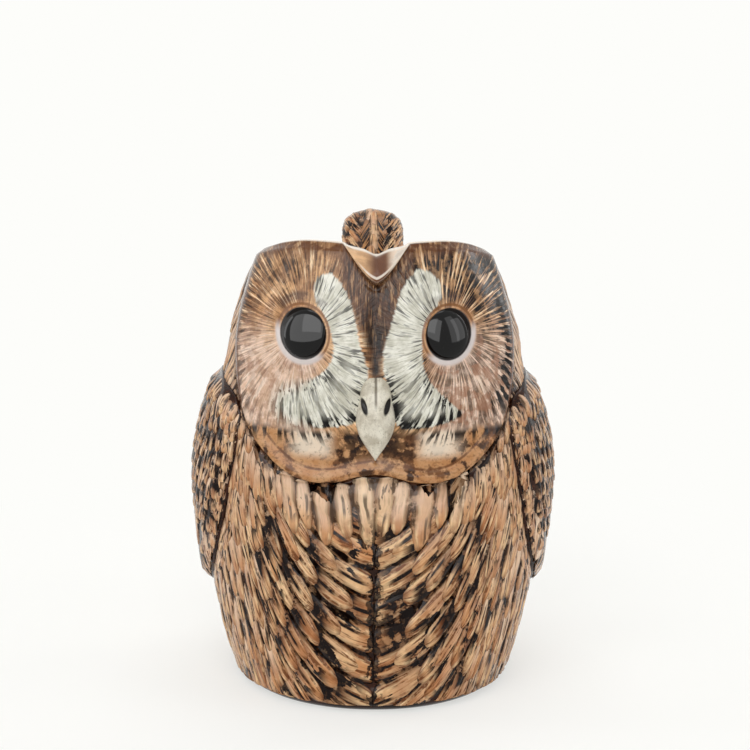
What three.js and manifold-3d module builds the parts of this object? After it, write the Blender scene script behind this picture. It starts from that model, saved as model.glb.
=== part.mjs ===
// Owl pitcher: a slip-cast, glazed earthenware jug in the form of a sitting owl.
// Millimetres, Z up. The face looks along -Y, the handle stands at the back, and
// the jug rests on Z = 0 under the middle of its outline.

import * as THREE from 'three';
import { mergeVertices } from 'three/addons/utils/BufferGeometryUtils.js';
import Module from 'manifold-3d';

const wasm = await Module();
wasm.setup();

// Vessel
const jugHeight = 134.6;
const bellyHalfWidth = 50.9;
const bellyFrontReach = 48;
const bellyBackReach = 47.2;
const wallThickness = 4.5;
const floorThickness = 6;
const floorRadius = 14;
const footRadius = 3.6;
const footRingWidth = 6.5;
const footRecess = 1.8;

// Facial disc and chin
const discHalfWidth = 40.2;
const discEdgeRise = 1.1;
const discEdgeSpread = 1.6;
const discEdgeInset = 1.8;
const discGrooveDepth = 0.7;
const chinOverhang = 1.3;
const chinCrease = 1.3;
const chinCreaseReach = 7;
const chinEdgeSoftness = 1.3;
const chinHalfWidth = 36;
const chinFade = 15;

// Eyes and the bowls that they sit in
const eyeSpacing = 40.6;
const eyeHeightShare = 0.8157;
const eyeWidth = 12.3;
const eyeTall = 13.4;
const eyeDome = 3.4;
const eyeSkirt = 1.2;
const eyeBowlDepth = 1.1;
const eyeBowlRadius = 12;
const eyeTiltDegrees = 14;

// Brow pads and the valley between them
const padRise = 1.2;
const padSpread = 4.6;
const padOffset = 9.4;
const padLength = 17;
const padHeightShare = 0.7355;
const valleyDepth = 1.1;
const valleySpread = 2.6;
const valleyHeightShare = 0.8172;
const valleyLength = 11;

// Chest
const chestGrooveDepth = 1.3;
const chestGrooveSpread = 2.4;
const chestGrooveTopShare = 0.4755;
const chestGrooveFade = 8;

// Breast feathers, in lines that climb outwards from the middle of the chest
const featherSpacing = 8.6;
const featherRise = 0.9;
const featherFade = 6;
const featherClimbShare = 0.45;
const featherSweepShare = 0.243;
const featherCrestShare = 0.3;

// Pouring lip, rolled outwards and down over the forehead
const lipHalfWidth = 9.8;
const lipReach = 8.8;
const lipDroop = 4.7;
const lipThickness = 1.6;
const lipRootDrop = 10.2;

// Beak
const beakHalfWidth = 5.5;
const beakTopShare = 0.731;
const beakTipShare = 0.5765;
const beakRise = 7.2;
const beakHook = 1.6;
const beakSeatDepth = 4;
const nostrilLength = 4.6;
const nostrilWidth = 1.5;
const nostrilHeightShare = 0.6776;
const nostrilOffset = 3.2;
const nostrilDepth = 1.6;
const nostrilLeanDegrees = 16;

// Wings
const wingTopShare = 0.691;
const wingBottomShare = 0.1085;
const wingThickness = 3.9;
const wingEdgeThickness = 1.2;
const wingEdgeFade = 7;
const wingTierStep = 1;
const wingTierScallop = 4.2;
const wingQuillDepth = 0.5;
const wingTipScallop = 2.6;

// Tail
const tailDrop = 9;
const tailBottom = 4.6;
const tailHalfWidth = 13.5;
const tailThickness = 3.2;
const tailEdgeThickness = 1.2;
const tailGrooveDepth = 0.8;
const tailScallop = 2.4;

// Handle: a half-round strap
const handleWidth = 21;
const handleCrown = 8.8;
const handleEdge = 2;
const handleTopShare = 0.994;
const handleReach = 74.5;
const handleRootShare = 0.7504;
const handleFootHeightShare = 0.364;
const handleFootWidthShare = 0.78;
const handleFlareShare = 0.28;
const handleSoleShare = 0.86;
const handleSink = 3;

// Fits
const seatGap = 0.3;
const overrun = 1;
const probeStep = 0.25;

// Mesh density
const columnCount = 72;
const lowerRows = 25;
const faceRows = 17;
const innerRows = 5;
const floorRows = 4;
const outlineSteps = 96;
const eyeRings = 5;
const eyeSides = 24;
const beakRows = 16;
const beakSides = 14;
const nostrilSides = 10;
const wingRows = 34;
const wingColumns = 15;
const tailRows = 9;
const tailColumns = 20;
const handleSteps = 44;
const handleSides = 9;
const flareSteps = 4;

// Heights that follow from the jug's height
const eyeHeight = eyeHeightShare * jugHeight;
const padHeight = padHeightShare * jugHeight;
const valleyHeight = valleyHeightShare * jugHeight;
const chestGrooveTop = chestGrooveTopShare * jugHeight;
const beakTop = beakTopShare * jugHeight;
const beakTip = beakTipShare * jugHeight;
const nostrilHeight = nostrilHeightShare * jugHeight;
const wingTop = wingTopShare * jugHeight;
const wingBottom = wingBottomShare * jugHeight;
const handleTop = handleTopShare * jugHeight;
const handleRootHeight = handleRootShare * jugHeight;
const handleFootHeight = handleFootHeightShare * jugHeight;
const tailTop = handleFootHeight - tailDrop;

// Rows of the outer wall near the foot and about the chin, as shares of the foot's radius
// and of the chin's softness
const footRowShares = [0, 0.12, 0.5];
const chinRowShares = [-1, -0.33, 0.5];

// Lip profile between its root, its edge and the crest of the rim: shares of its reach,
// and of its root's drop or its own droop
const lipRootShares = [0.42, 0.82];
const lipTroughShares = [0.5, 0.55];
const lipDroopPower = 1.8;

// Outline of the vessel from the foot up: height as a share of the jug's height, then
// half-width, front reach and back reach as shares of the belly's
const vesselShares = [
  [0.000, 0.792, 0.930, 0.880],
  [0.105, 0.876, 0.971, 0.943],
  [0.210, 0.934, 0.992, 0.979],
  [0.315, 0.974, 1.000, 0.996],
  [0.420, 1.000, 0.996, 1.000],
  [0.495, 0.998, 0.983, 0.992],
  [0.570, 0.964, 0.968, 0.966],
  [0.642, 0.906, 0.960, 0.924],
  [0.716, 0.852, 0.954, 0.873],
  [0.776, 0.831, 0.934, 0.835],
  [0.836, 0.787, 0.900, 0.797],
  [0.896, 0.727, 0.850, 0.767],
  [0.948, 0.666, 0.787, 0.742],
  [1.000, 0.600, 0.735, 0.715],
];

// Squareness of the front and of the back of a level section, 2 being an ellipse
const squarenessShares = [
  [0.00, 2.10, 2.00],
  [0.35, 2.15, 2.05],
  [0.55, 2.25, 2.10],
  [0.72, 2.45, 2.10],
  [0.88, 2.40, 2.10],
  [1.00, 2.20, 2.05],
];

// Edge of the facial disc on the right: shares of the disc's half-width and the jug's height
const discShares = [
  [0.00, 1.060],
  [0.50, 1.070],
  [0.83, 0.985],
  [0.93, 0.890],
  [0.99, 0.812],
  [1.00, 0.750],
  [0.97, 0.672],
  [0.885, 0.600],
  [0.79, 0.565],
  [0.67, 0.535],
  [0.55, 0.516],
  [0.42, 0.508],
  [0.27, 0.511],
  [0.12, 0.523],
  [0.00, 0.528],
];

// Where the disc's edge column lies, as a share of half a turn from the front
const edgeTurnShares = [
  [0.00, 0.260],
  [0.30, 0.245],
  [0.45, 0.215],
  [0.53, 0.185],
  [0.59, 0.245],
  [0.66, 0.320],
  [0.75, 0.395],
  [0.82, 0.420],
  [0.90, 0.440],
  [1.00, 0.460],
];
const edgeColumnShare = 0.5;
const chinCornerShare = 0.92;

// Height of the neck row behind the disc, and where it reaches that height
const neckRowShare = 0.63;
const neckColumnShare = 0.85;

// Height of the rim by the share of half a turn from the front
const rimShares = [
  [0.00, 0.975],
  [0.035, 0.990],
  [0.08, 0.998],
  [0.16, 1.000],
  [0.24, 0.997],
  [0.33, 0.986],
  [0.42, 0.969],
  [0.50, 0.955],
  [0.62, 0.934],
  [0.75, 0.917],
  [0.88, 0.908],
  [1.00, 0.905],
];

// Wing rows from the shoulder to the tip: share of the wing's height,
// then leading and trailing edge as shares of half a turn from the front
const wingShares = [
  [0.00, 0.440, 0.490],
  [0.04, 0.345, 0.570],
  [0.10, 0.295, 0.655],
  [0.22, 0.278, 0.745],
  [0.37, 0.290, 0.812],
  [0.55, 0.330, 0.850],
  [0.70, 0.392, 0.868],
  [0.83, 0.480, 0.874],
  [0.93, 0.620, 0.868],
  [1.00, 0.745, 0.825],
];
const wingTierShares = [0.20, 0.38, 0.60];
const wingFeatherCount = 4;
const wingTipCount = 5;
const wingTipStartShare = 0.3;

// Tail rows from the top: share of its length, share of its half-width
const tailShares = [
  [0.00, 0.50],
  [0.25, 0.66],
  [0.60, 0.86],
  [0.90, 1.00],
  [1.00, 0.96],
];
const tailFeatherCount = 5;
const tailTipPower = 4;
const tailFadeShares = [0.33, 0.25];

// Beak from its top to its tip: share of its length, width share, rise share
const beakShares = [
  [0.00, 0.30, 0.10],
  [0.05, 0.56, 0.42],
  [0.15, 0.74, 0.66],
  [0.32, 0.84, 0.84],
  [0.48, 0.97, 0.98],
  [0.60, 1.00, 1.00],
  [0.74, 0.86, 0.94],
  [0.87, 0.56, 0.76],
  [0.95, 0.30, 0.58],
  [1.00, 0.10, 0.42],
];

// Line of the handle's underside: share of the way out from the wall to its furthest
// reach, share of the way up from its foot to its highest point
const handleShares = [
  [0.00, 0.676],
  [0.16, 0.765],
  [0.34, 0.860],
  [0.53, 0.948],
  [0.71, 0.996],
  [0.87, 0.978],
  [0.97, 0.880],
  [1.00, 0.745],
  [0.97, 0.575],
  [0.87, 0.400],
  [0.68, 0.240],
  [0.45, 0.110],
  [0.22, 0.030],
  [0.00, 0.000],
];

// Smooth curve through the rows of a table, read at one place in its first column
function readTable(table, place, column) {
  const last = table.length - 1;
  const at = THREE.MathUtils.clamp(place, table[0][0], table[last][0]);
  let row = 0;
  while (row < last - 1 && at > table[row + 1][0]) row += 1;
  const slope = (k) => {
    const low = table[Math.max(k - 1, 0)];
    const high = table[Math.min(k + 1, last)];
    return (high[column] - low[column]) / (high[0] - low[0]);
  };
  const span = table[row + 1][0] - table[row][0];
  const u = (at - table[row][0]) / span;
  const start = table[row][column];
  const rise = table[row + 1][column] - start;
  const startBend = slope(row) * span;
  const endBend = slope(row + 1) * span;
  return start + u * startBend
    + u * u * (3 * rise - 2 * startBend - endBend)
    + u * u * u * (startBend + endBend - 2 * rise);
}

const bell = (distance, spread) => Math.exp(-((distance / spread) ** 2));
const softStep = (value) => THREE.MathUtils.smoothstep(value, 0, 1);
const signedPower = (value, power) => Math.sign(value) * Math.abs(value) ** power;

// Closed edge of the facial disc in the front view
function discOutline() {
  const right = discShares.map(([across, up]) => new THREE.Vector2(across * discHalfWidth, up * jugHeight));
  const left = right.slice(1, -1).reverse().map((point) => new THREE.Vector2(-point.x, point.y));
  const loop = [...right, ...left].map((point) => new THREE.Vector3(point.x, point.y, 0));
  return new THREE.CatmullRomCurve3(loop, true, 'centripetal').getPoints(outlineSteps);
}
const discEdge = discOutline();

// Distance from the disc's edge in the front view, positive inside
function insideDisc(x, z) {
  let nearest = Infinity;
  let inside = false;
  for (let k = 0; k < discEdge.length - 1; k += 1) {
    const a = discEdge[k];
    const b = discEdge[k + 1];
    const spanX = b.x - a.x;
    const spanZ = b.y - a.y;
    const along = ((x - a.x) * spanX + (z - a.y) * spanZ) / (spanX * spanX + spanZ * spanZ);
    const share = THREE.MathUtils.clamp(along, 0, 1);
    nearest = Math.min(nearest, Math.hypot(x - a.x - share * spanX, z - a.y - share * spanZ));
    if ((a.y > z) !== (b.y > z) && x < a.x + ((z - a.y) / spanZ) * spanX) inside = !inside;
  }
  return inside ? nearest : -nearest;
}

// Height of the breast feathers over the skin, by the place in the front view and its distance
// from the disc: each line of feathers rises from the one above to a rounded lower border
function breastRelief(x, z, edge) {
  const sweep = featherSweepShare * jugHeight * (Math.abs(x) / chinHalfWidth) ** 3;
  const lines = (z - featherClimbShare * Math.abs(x) - sweep) / featherSpacing;
  const share = lines - Math.floor(lines);
  const rise = softStep(share / featherCrestShare) * softStep((1 - share) / (1 - featherCrestShare));
  const across = softStep((chinHalfWidth - Math.abs(x)) / chinFade);
  const up = softStep(-edge / featherFade) * softStep((z - footRadius) / featherFade);
  return featherRise * across * up * (rise - softStep(0.5));
}

// Relief of the moulded owl on the front of the vessel, by its place in the front view
function frontRelief(x, z) {
  const edge = insideDisc(x, z);
  const chinward = softStep((eyeHeight - z) / (eyeHeight - beakTip))
    * softStep((chinHalfWidth - Math.abs(x)) / chinFade);
  const inside = softStep(edge / chinEdgeSoftness + 0.5);
  let relief = discEdgeRise * bell(edge - discEdgeInset, discEdgeSpread);
  relief -= discGrooveDepth * bell(edge + discEdgeInset / 2, discEdgeSpread / 2);
  relief += chinOverhang * chinward * inside * bell(Math.max(edge, 0), 2 * chinCreaseReach);
  relief -= chinCrease * chinward * (1 - inside) * bell(edge, chinCreaseReach);
  for (const side of [-1, 1]) {
    const fromEye = Math.hypot(x - side * eyeSpacing / 2, z - eyeHeight);
    relief -= eyeBowlDepth * bell(fromEye, eyeBowlRadius);
    relief += padRise * bell(x - side * padOffset, padSpread) * bell(z - padHeight, padLength);
  }
  relief -= valleyDepth * bell(x, valleySpread) * bell(z - valleyHeight, valleyLength);
  const chest = softStep((chestGrooveTop - z) / chestGrooveFade) * softStep((z - footRadius) / chestGrooveFade);
  relief -= chestGrooveDepth * chest * bell(x, chestGrooveSpread);
  return relief + breastRelief(x, z, edge);
}

// Level section of the vessel: a point and its outward direction at one turn and height
function section(turn, height) {
  const share = height / jugHeight;
  const front = Math.cos(turn) > 0;
  const tuck = height < footRadius
    ? footRadius - Math.sqrt(footRadius ** 2 - (footRadius - Math.max(height, 0)) ** 2) : 0;
  const halfWidth = readTable(vesselShares, share, 1) * bellyHalfWidth - tuck;
  const reach = (front ? readTable(vesselShares, share, 2) * bellyFrontReach
    : readTable(vesselShares, share, 3) * bellyBackReach) - tuck;
  const power = readTable(squarenessShares, share, front ? 1 : 2);
  const sine = Math.sin(turn);
  const cosine = Math.cos(turn);
  const point = new THREE.Vector2(
    halfWidth * signedPower(sine, 2 / power),
    -reach * signedPower(cosine, 2 / power),
  );
  const outward = new THREE.Vector2(
    signedPower(point.x / halfWidth, power - 1) / halfWidth,
    signedPower(point.y / reach, power - 1) / reach,
  ).normalize();
  return { point, outward };
}

// Outer skin of the vessel with its relief
function skin(turn, height) {
  const { point, outward } = section(turn, height);
  const facing = softStep(0.5 + 2 * outward.dot(new THREE.Vector2(0, -1)));
  const relief = facing > 0 ? facing * frontRelief(point.x, height) : 0;
  return new THREE.Vector3(point.x + outward.x * relief, point.y + outward.y * relief, height);
}

// Outward direction of the skin
function skinNormal(turn, height) {
  const step = probeStep / bellyHalfWidth;
  const across = skin(turn + step, height).sub(skin(turn - step, height));
  const up = skin(turn, height + probeStep).sub(skin(turn, height - probeStep));
  return across.cross(up).normalize();
}

const offsetSkin = (turn, height, distance) =>
  skin(turn, height).addScaledVector(skinNormal(turn, height), distance);

// Column places run from -1 at the back over 0 at the front to 1 at the back
function columnTurn(place, height) {
  const edge = readTable(edgeTurnShares, height / jugHeight, 1) * Math.PI;
  const share = Math.abs(place);
  const turn = share <= edgeColumnShare
    ? edge * (share / edgeColumnShare)
    : edge + (Math.PI - edge) * ((share - edgeColumnShare) / (1 - edgeColumnShare));
  return Math.sign(place) * turn;
}
const columnPlaces = Array.from({ length: columnCount }, (_, k) => (2 * k) / columnCount - 1);

// A closed solid from rings of equal length that may start and end in a single point
function loft(rings) {
  const positions = [];
  const indices = [];
  const starts = rings.map((ring) => {
    const start = positions.length / 3;
    ring.forEach((point) => positions.push(point.x, point.y, point.z));
    return start;
  });
  for (let i = 0; i < rings.length - 1; i += 1) {
    const count = Math.max(rings[i].length, rings[i + 1].length);
    for (let j = 0; j < count; j += 1) {
      const next = (j + 1) % count;
      const lowA = starts[i] + (rings[i].length > 1 ? j : 0);
      const lowB = starts[i] + (rings[i].length > 1 ? next : 0);
      const highA = starts[i + 1] + (rings[i + 1].length > 1 ? j : 0);
      const highB = starts[i + 1] + (rings[i + 1].length > 1 ? next : 0);
      if (lowA !== lowB) indices.push(lowA, lowB, highB);
      if (highA !== highB) indices.push(lowA, highB, highA);
    }
  }
  const geometry = new THREE.BufferGeometry();
  geometry.setAttribute('position', new THREE.Float32BufferAttribute(positions, 3));
  geometry.setIndex(indices);
  return geometry;
}

function toSolid(geometry) {
  const bare = geometry.clone();
  bare.deleteAttribute('normal');
  bare.deleteAttribute('uv');
  const merged = mergeVertices(bare);
  return new wasm.Manifold(new wasm.Mesh({
    numProp: 3,
    vertProperties: new Float32Array(merged.attributes.position.array),
    triVerts: new Uint32Array(merged.index.array),
  }));
}

function toGeometry(solid) {
  const mesh = solid.getMesh();
  const geometry = new THREE.BufferGeometry();
  geometry.setAttribute('position', new THREE.BufferAttribute(new Float32Array(mesh.vertProperties), 3));
  geometry.setIndex(new THREE.BufferAttribute(new Uint32Array(mesh.triVerts), 1));
  return geometry;
}

// Share of the lip that a column carries, by how far it is from the middle of the front
function lipShare(turn) {
  const x = Math.abs(section(turn, jugHeight).point.x);
  if (Math.cos(turn) < 0 || x > lipHalfWidth) return 0;
  return Math.cos((Math.PI / 2) * (x / lipHalfWidth));
}

// Rim of one column, from the outer wall over the crest to the inner wall
function rimPoints(place) {
  const turn = columnTurn(place, jugHeight);
  const crest = readTable(rimShares, Math.abs(turn) / Math.PI, 1) * jugHeight;
  const round = wallThickness / 2;
  const lip = lipShare(turn);
  const lipProfile = [
    [0, -lipRootDrop],
    [lipReach * lipRootShares[0], -lipRootDrop * lipRootShares[1]],
    [lipReach - lipThickness / 4, -lipDroop - lipThickness],
    [lipReach, -lipDroop],
    [lipReach * lipTroughShares[0], -lipDroop * lipTroughShares[1]],
    [-round, 0],
    [-wallThickness, -round],
  ];
  const { point, outward } = section(turn, crest);
  return lipProfile.map(([lipOut, lipUp], k) => {
    const angle = (Math.PI * k) / (lipProfile.length - 1);
    const plainOut = round * (Math.cos(angle) - 1);
    const plainUp = round * (Math.sin(angle) - 1);
    const out = plainOut + (lipOut - plainOut) * lip;
    const height = crest + plainUp + (lipUp - plainUp) * lip ** lipDroopPower;
    const wall = k === 0 ? section(columnTurn(place, height), height) : { point, outward };
    return new THREE.Vector3(
      wall.point.x + wall.outward.x * out,
      wall.point.y + wall.outward.y * out,
      height,
    );
  });
}
const rims = columnPlaces.map(rimPoints);

// Height at which a column crosses the lower edge of the facial disc
function discCrossing(place) {
  let low = chestGrooveTop;
  let high = eyeHeight;
  while (high - low > probeStep / columnCount) {
    const middle = (low + high) / 2;
    if (insideDisc(section(columnTurn(place, middle), middle).point.x, middle) > 0) high = middle;
    else low = middle;
  }
  return low;
}
const cornerHeight = discCrossing(edgeColumnShare * chinCornerShare);

// Height of the row that follows the chin in front and the neck at the back
function chinHeight(place) {
  const share = Math.abs(place);
  if (share <= edgeColumnShare * chinCornerShare) return discCrossing(share);
  const start = edgeColumnShare * chinCornerShare;
  const along = softStep((share - start) / (neckColumnShare - start));
  return THREE.MathUtils.lerp(cornerHeight, neckRowShare * jugHeight, along);
}

// Heights of the outer rows of one column, from the foot over the chin to the rim's root
function outerHeights(column) {
  const chin = chinHeight(columnPlaces[column]);
  const root = rims[column][0].z;
  const heights = footRowShares.map((share) => share * footRadius);
  const aboutChin = chinRowShares.map((share) => chin + share * chinEdgeSoftness);
  for (let k = 0; k < lowerRows; k += 1) {
    heights.push(THREE.MathUtils.lerp(footRadius, aboutChin[0], k / lowerRows));
  }
  heights.push(...aboutChin);
  for (let k = 1; k < faceRows; k += 1) {
    heights.push(THREE.MathUtils.lerp(aboutChin.at(-1), root, k / faceRows));
  }
  return heights;
}

// Outer rows of the vessel, moved out by a distance
function outerRings(distance) {
  const columns = columnPlaces.map((place, column) => outerHeights(column).map((height) => {
    const turn = columnTurn(place, height);
    return distance > 0 ? offsetSkin(turn, height, distance) : skin(turn, height);
  }));
  return columns[0].map((_, row) => columns.map((column) => column[row]));
}

// Inner wall and floor: the plain vessel outline, one wall thickness in
function innerPoint(place, height) {
  const turn = columnTurn(place, height);
  const { point, outward } = section(turn, Math.max(height, footRadius));
  const above = height - floorThickness;
  const tuck = above < floorRadius
    ? floorRadius - Math.sqrt(Math.max(floorRadius ** 2 - (floorRadius - above) ** 2, 0)) : 0;
  const inset = wallThickness + tuck;
  return new THREE.Vector3(point.x - outward.x * inset, point.y - outward.y * inset, height);
}

// The vessel with its foot ring, head, lip and cavity
function vesselGeometry() {
  const outer = outerRings(0);
  const foot = outer[0];
  const ringInner = foot.map((point) => {
    const share = 1 - footRingWidth / Math.hypot(point.x, point.y);
    return new THREE.Vector3(point.x * share, point.y * share, 0);
  });
  const recessEdge = ringInner.map((point) => {
    const share = 1 - footRecess / Math.hypot(point.x, point.y);
    return new THREE.Vector3(point.x * share, point.y * share, footRecess);
  });
  const rimRings = rims[0].map((_, row) => rims.map((column) => column[row]));
  const inner = [];
  const floorStart = floorThickness + floorRadius;
  for (let k = 1; k <= innerRows; k += 1) {
    inner.push(columnPlaces.map((place, column) => {
      const top = rims[column].at(-1).z;
      return innerPoint(place, THREE.MathUtils.lerp(top, floorStart, k / innerRows));
    }));
  }
  for (let k = 1; k <= floorRows; k += 1) {
    const height = floorStart - floorRadius * Math.sin((Math.PI / 2) * (k / floorRows));
    inner.push(columnPlaces.map((place) => innerPoint(place, height)));
  }
  return loft([
    [new THREE.Vector3(0, 0, footRecess)],
    recessEdge,
    ringInner,
    ...outer,
    ...rimRings,
    ...inner,
    [new THREE.Vector3(0, 0, floorThickness)],
  ]);
}

// Filled outer form of the vessel, grown by the seat gap, that trims whatever sits on it
function seatCutter() {
  const rings = outerRings(seatGap);
  const roots = rings.at(-1);
  const lid = roots.map((point) => new THREE.Vector3(point.x, point.y, jugHeight + overrun));
  return toSolid(loft([
    [new THREE.Vector3(0, 0, -overrun)],
    rings[0].map((point) => new THREE.Vector3(point.x, point.y, -overrun)),
    ...rings,
    lid,
    [new THREE.Vector3(0, 0, jugHeight + overrun)],
  ]));
}

// Places an upright form, whose own axis is +Z, on the face of the owl
function faceFrame(side) {
  const share = eyeHeight / jugHeight;
  const halfWidth = readTable(vesselShares, share, 1) * bellyHalfWidth;
  const power = readTable(squarenessShares, share, 1);
  const turn = Math.asin(((eyeSpacing / 2) / halfWidth) ** (power / 2)) * side;
  const centre = skin(turn, eyeHeight);
  const outward = skinNormal(turn, eyeHeight);
  const upright = new THREE.Vector3(0, 0, 1).addScaledVector(outward, -outward.z).normalize();
  upright.applyAxisAngle(outward, THREE.MathUtils.degToRad(eyeTiltDegrees) * side);
  const across = new THREE.Vector3().crossVectors(upright, outward);
  return new THREE.Matrix4().makeBasis(across, upright, outward).setPosition(centre);
}

// An eye: a low glass-like dome on a short straight skirt
function eyeGeometry(grow) {
  const radius = eyeWidth / 2 + grow;
  const profile = [new THREE.Vector2(0, -eyeSkirt - grow), new THREE.Vector2(radius, -eyeSkirt - grow)];
  for (let k = 0; k <= eyeRings; k += 1) {
    const angle = (Math.PI / 2) * (k / eyeRings);
    profile.push(new THREE.Vector2(radius * Math.cos(angle), eyeDome * Math.sin(angle)));
  }
  profile.at(-1).x = 0;
  const geometry = new THREE.LatheGeometry(profile, eyeSides);
  geometry.rotateX(Math.PI / 2);
  geometry.scale(1, (eyeTall / 2 + grow) / radius, 1);
  return geometry;
}

// Beak: narrow rings from its top to the hooked tip, seated on the face
function beakSolid(cutter) {
  const rings = [];
  for (let k = 0; k <= beakRows; k += 1) {
    const share = k / beakRows;
    const height = THREE.MathUtils.lerp(beakTop, beakTip, share);
    const base = skin(0, height).y;
    const halfWidth = beakHalfWidth * readTable(beakShares, share, 1);
    const rise = beakRise * readTable(beakShares, share, 2);
    const drop = beakHook * share * share;
    const ring = [];
    for (let j = 0; j < beakSides; j += 1) {
      const angle = (2 * Math.PI * j) / beakSides;
      const out = Math.cos(angle) > 0 ? rise : beakSeatDepth;
      ring.push(new THREE.Vector3(
        halfWidth * Math.sin(angle),
        base - out * Math.cos(angle),
        height - drop * Math.max(Math.cos(angle), 0),
      ));
    }
    rings.push(ring);
  }
  const middle = (ring) => ring.reduce((sum, point) => sum.add(point), new THREE.Vector3())
    .divideScalar(ring.length);
  const body = loft([[middle(rings.at(-1))], ...rings.reverse(), [middle(rings.at(-1))]]);
  let solid = toSolid(body).subtract(cutter);
  for (const side of [-1, 1]) {
    const slot = new THREE.SphereGeometry(1, nostrilSides, nostrilSides);
    slot.scale(nostrilWidth / 2, nostrilDepth, nostrilLength / 2);
    slot.rotateY(THREE.MathUtils.degToRad(nostrilLeanDegrees) * side);
    const front = skin(0, nostrilHeight).y - beakRise * Math.sqrt(1 - (nostrilOffset / beakHalfWidth) ** 2);
    slot.translate(nostrilOffset * side, front, nostrilHeight);
    solid = solid.subtract(toSolid(slot));
  }
  return solid;
}

// A relief that lies on the skin, from rows of turns: its face, its edge and a seat trimmed to fit
function skinRelief(rowPlaces, thicknessAt, cutter) {
  const outer = rowPlaces.map((row, i) => row.map((spot, j) =>
    offsetSkin(spot.turn, spot.height, seatGap + thicknessAt(i, j))));
  const seat = rowPlaces.map((row) => row.map((spot) => offsetSkin(spot.turn, spot.height, -overrun)));
  const rowCount = rowPlaces.length;
  const columns = rowPlaces[0].length;
  const rings = rowPlaces.map((_, i) => [...outer[i], ...[...seat[i]].reverse()]);
  const geometry = loft(rings);
  const indices = [...geometry.index.array];
  const width = columns * 2;
  const closeEnd = (row, flip) => {
    const start = row * width;
    for (let j = 0; j < columns - 1; j += 1) {
      const a = start + j;
      const b = start + j + 1;
      const c = start + width - 1 - j;
      const d = start + width - 2 - j;
      if (flip) indices.push(a, d, b, a, c, d);
      else indices.push(a, b, d, a, d, c);
    }
  };
  closeEnd(0, true);
  closeEnd(rowCount - 1, false);
  geometry.setIndex(indices);
  return toSolid(geometry).subtract(cutter);
}

// One wing: tiers of feathers between a leading and a trailing edge, each tier rising
// to its scalloped tips before the next one starts below it
function wingSolid(side, cutter) {
  const spots = [];
  const wingLength = wingTop - wingBottom;
  for (let i = 0; i <= wingRows; i += 1) {
    const down = i / wingRows;
    const height = THREE.MathUtils.lerp(wingTop, wingBottom, down);
    const scallop = wingTipScallop * Math.abs(Math.sin(Math.PI * wingTipCount * down))
      * softStep((down - wingTipStartShare) * 2);
    const lead = readTable(wingShares, down, 1) * Math.PI - scallop / bellyHalfWidth;
    const trail = readTable(wingShares, down, 2) * Math.PI;
    const row = [];
    for (let j = 0; j <= wingColumns; j += 1) {
      const across = j / wingColumns;
      row.push({ turn: side * THREE.MathUtils.lerp(lead, trail, across), height, down, across, lead, trail });
    }
    spots.push(side > 0 ? row.reverse() : row);
  }
  const thickness = (i, j) => {
    const { down, across, lead, trail } = spots[i][j];
    const width = (trail - lead) * bellyHalfWidth;
    const fromSide = Math.min(across, 1 - across) * width;
    const fromEnd = Math.min(down, 1 - down) * wingLength;
    const swell = softStep(Math.min(fromSide, fromEnd) / wingEdgeFade);
    const quill = Math.abs(Math.cos(Math.PI * wingFeatherCount * across));
    const along = down + (wingTierScallop / wingLength) * quill;
    const tiers = [0, ...wingTierShares, 1];
    const tier = wingTierShares.filter((share) => along > share).length;
    const reached = (along - tiers[tier]) / (tiers[tier + 1] - tiers[tier]);
    const cover = wingTierStep * (Math.min(reached, 1) - 1) - wingQuillDepth * quill * reached;
    return wingEdgeThickness + (wingThickness - wingEdgeThickness + cover) * swell;
  };
  return skinRelief(spots, thickness, cutter);
}

// Tail: a short fan of feathers low on the back
function tailSolid(cutter) {
  const spots = [];
  for (let i = 0; i <= tailRows; i += 1) {
    const down = i / tailRows;
    const row = [];
    for (let j = 0; j <= tailColumns; j += 1) {
      const across = (2 * j) / tailColumns - 1;
      const halfWidth = tailHalfWidth * readTable(tailShares, down, 1);
      const feather = Math.abs(Math.cos((Math.PI / 2) * tailFeatherCount * across));
      const low = tailBottom + tailScallop * (1 - feather) * down ** tailTipPower;
      const height = THREE.MathUtils.lerp(tailTop, low, down);
      row.push({ turn: Math.PI - (across * halfWidth) / bellyBackReach, height, across, down, feather });
    }
    spots.push(row);
  }
  const thickness = (i, j) => {
    const { across, down, feather } = spots[i][j];
    const swell = softStep((1 - Math.abs(across)) / tailFadeShares[0]) * softStep(down / tailFadeShares[1]);
    return tailEdgeThickness + (tailThickness - tailEdgeThickness) * swell
      - tailGrooveDepth * (1 - feather) * swell;
  };
  return skinRelief(spots, thickness, cutter);
}

// Half-round strap section at a share of its full width, flat side down
function strapSection(widthShare, growShare) {
  const halfWidth = (handleWidth / 2) * widthShare * growShare;
  const crown = handleCrown * ((1 + widthShare) / 2) * growShare;
  const points = [];
  for (let k = 0; k <= handleSides; k += 1) {
    const angle = Math.PI * (k / handleSides);
    points.push([-halfWidth * Math.cos(angle), handleEdge + (crown - handleEdge) * Math.sin(angle)]);
  }
  points.push([halfWidth * handleSoleShare, 0], [-halfWidth * handleSoleShare, 0]);
  return points;
}

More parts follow.
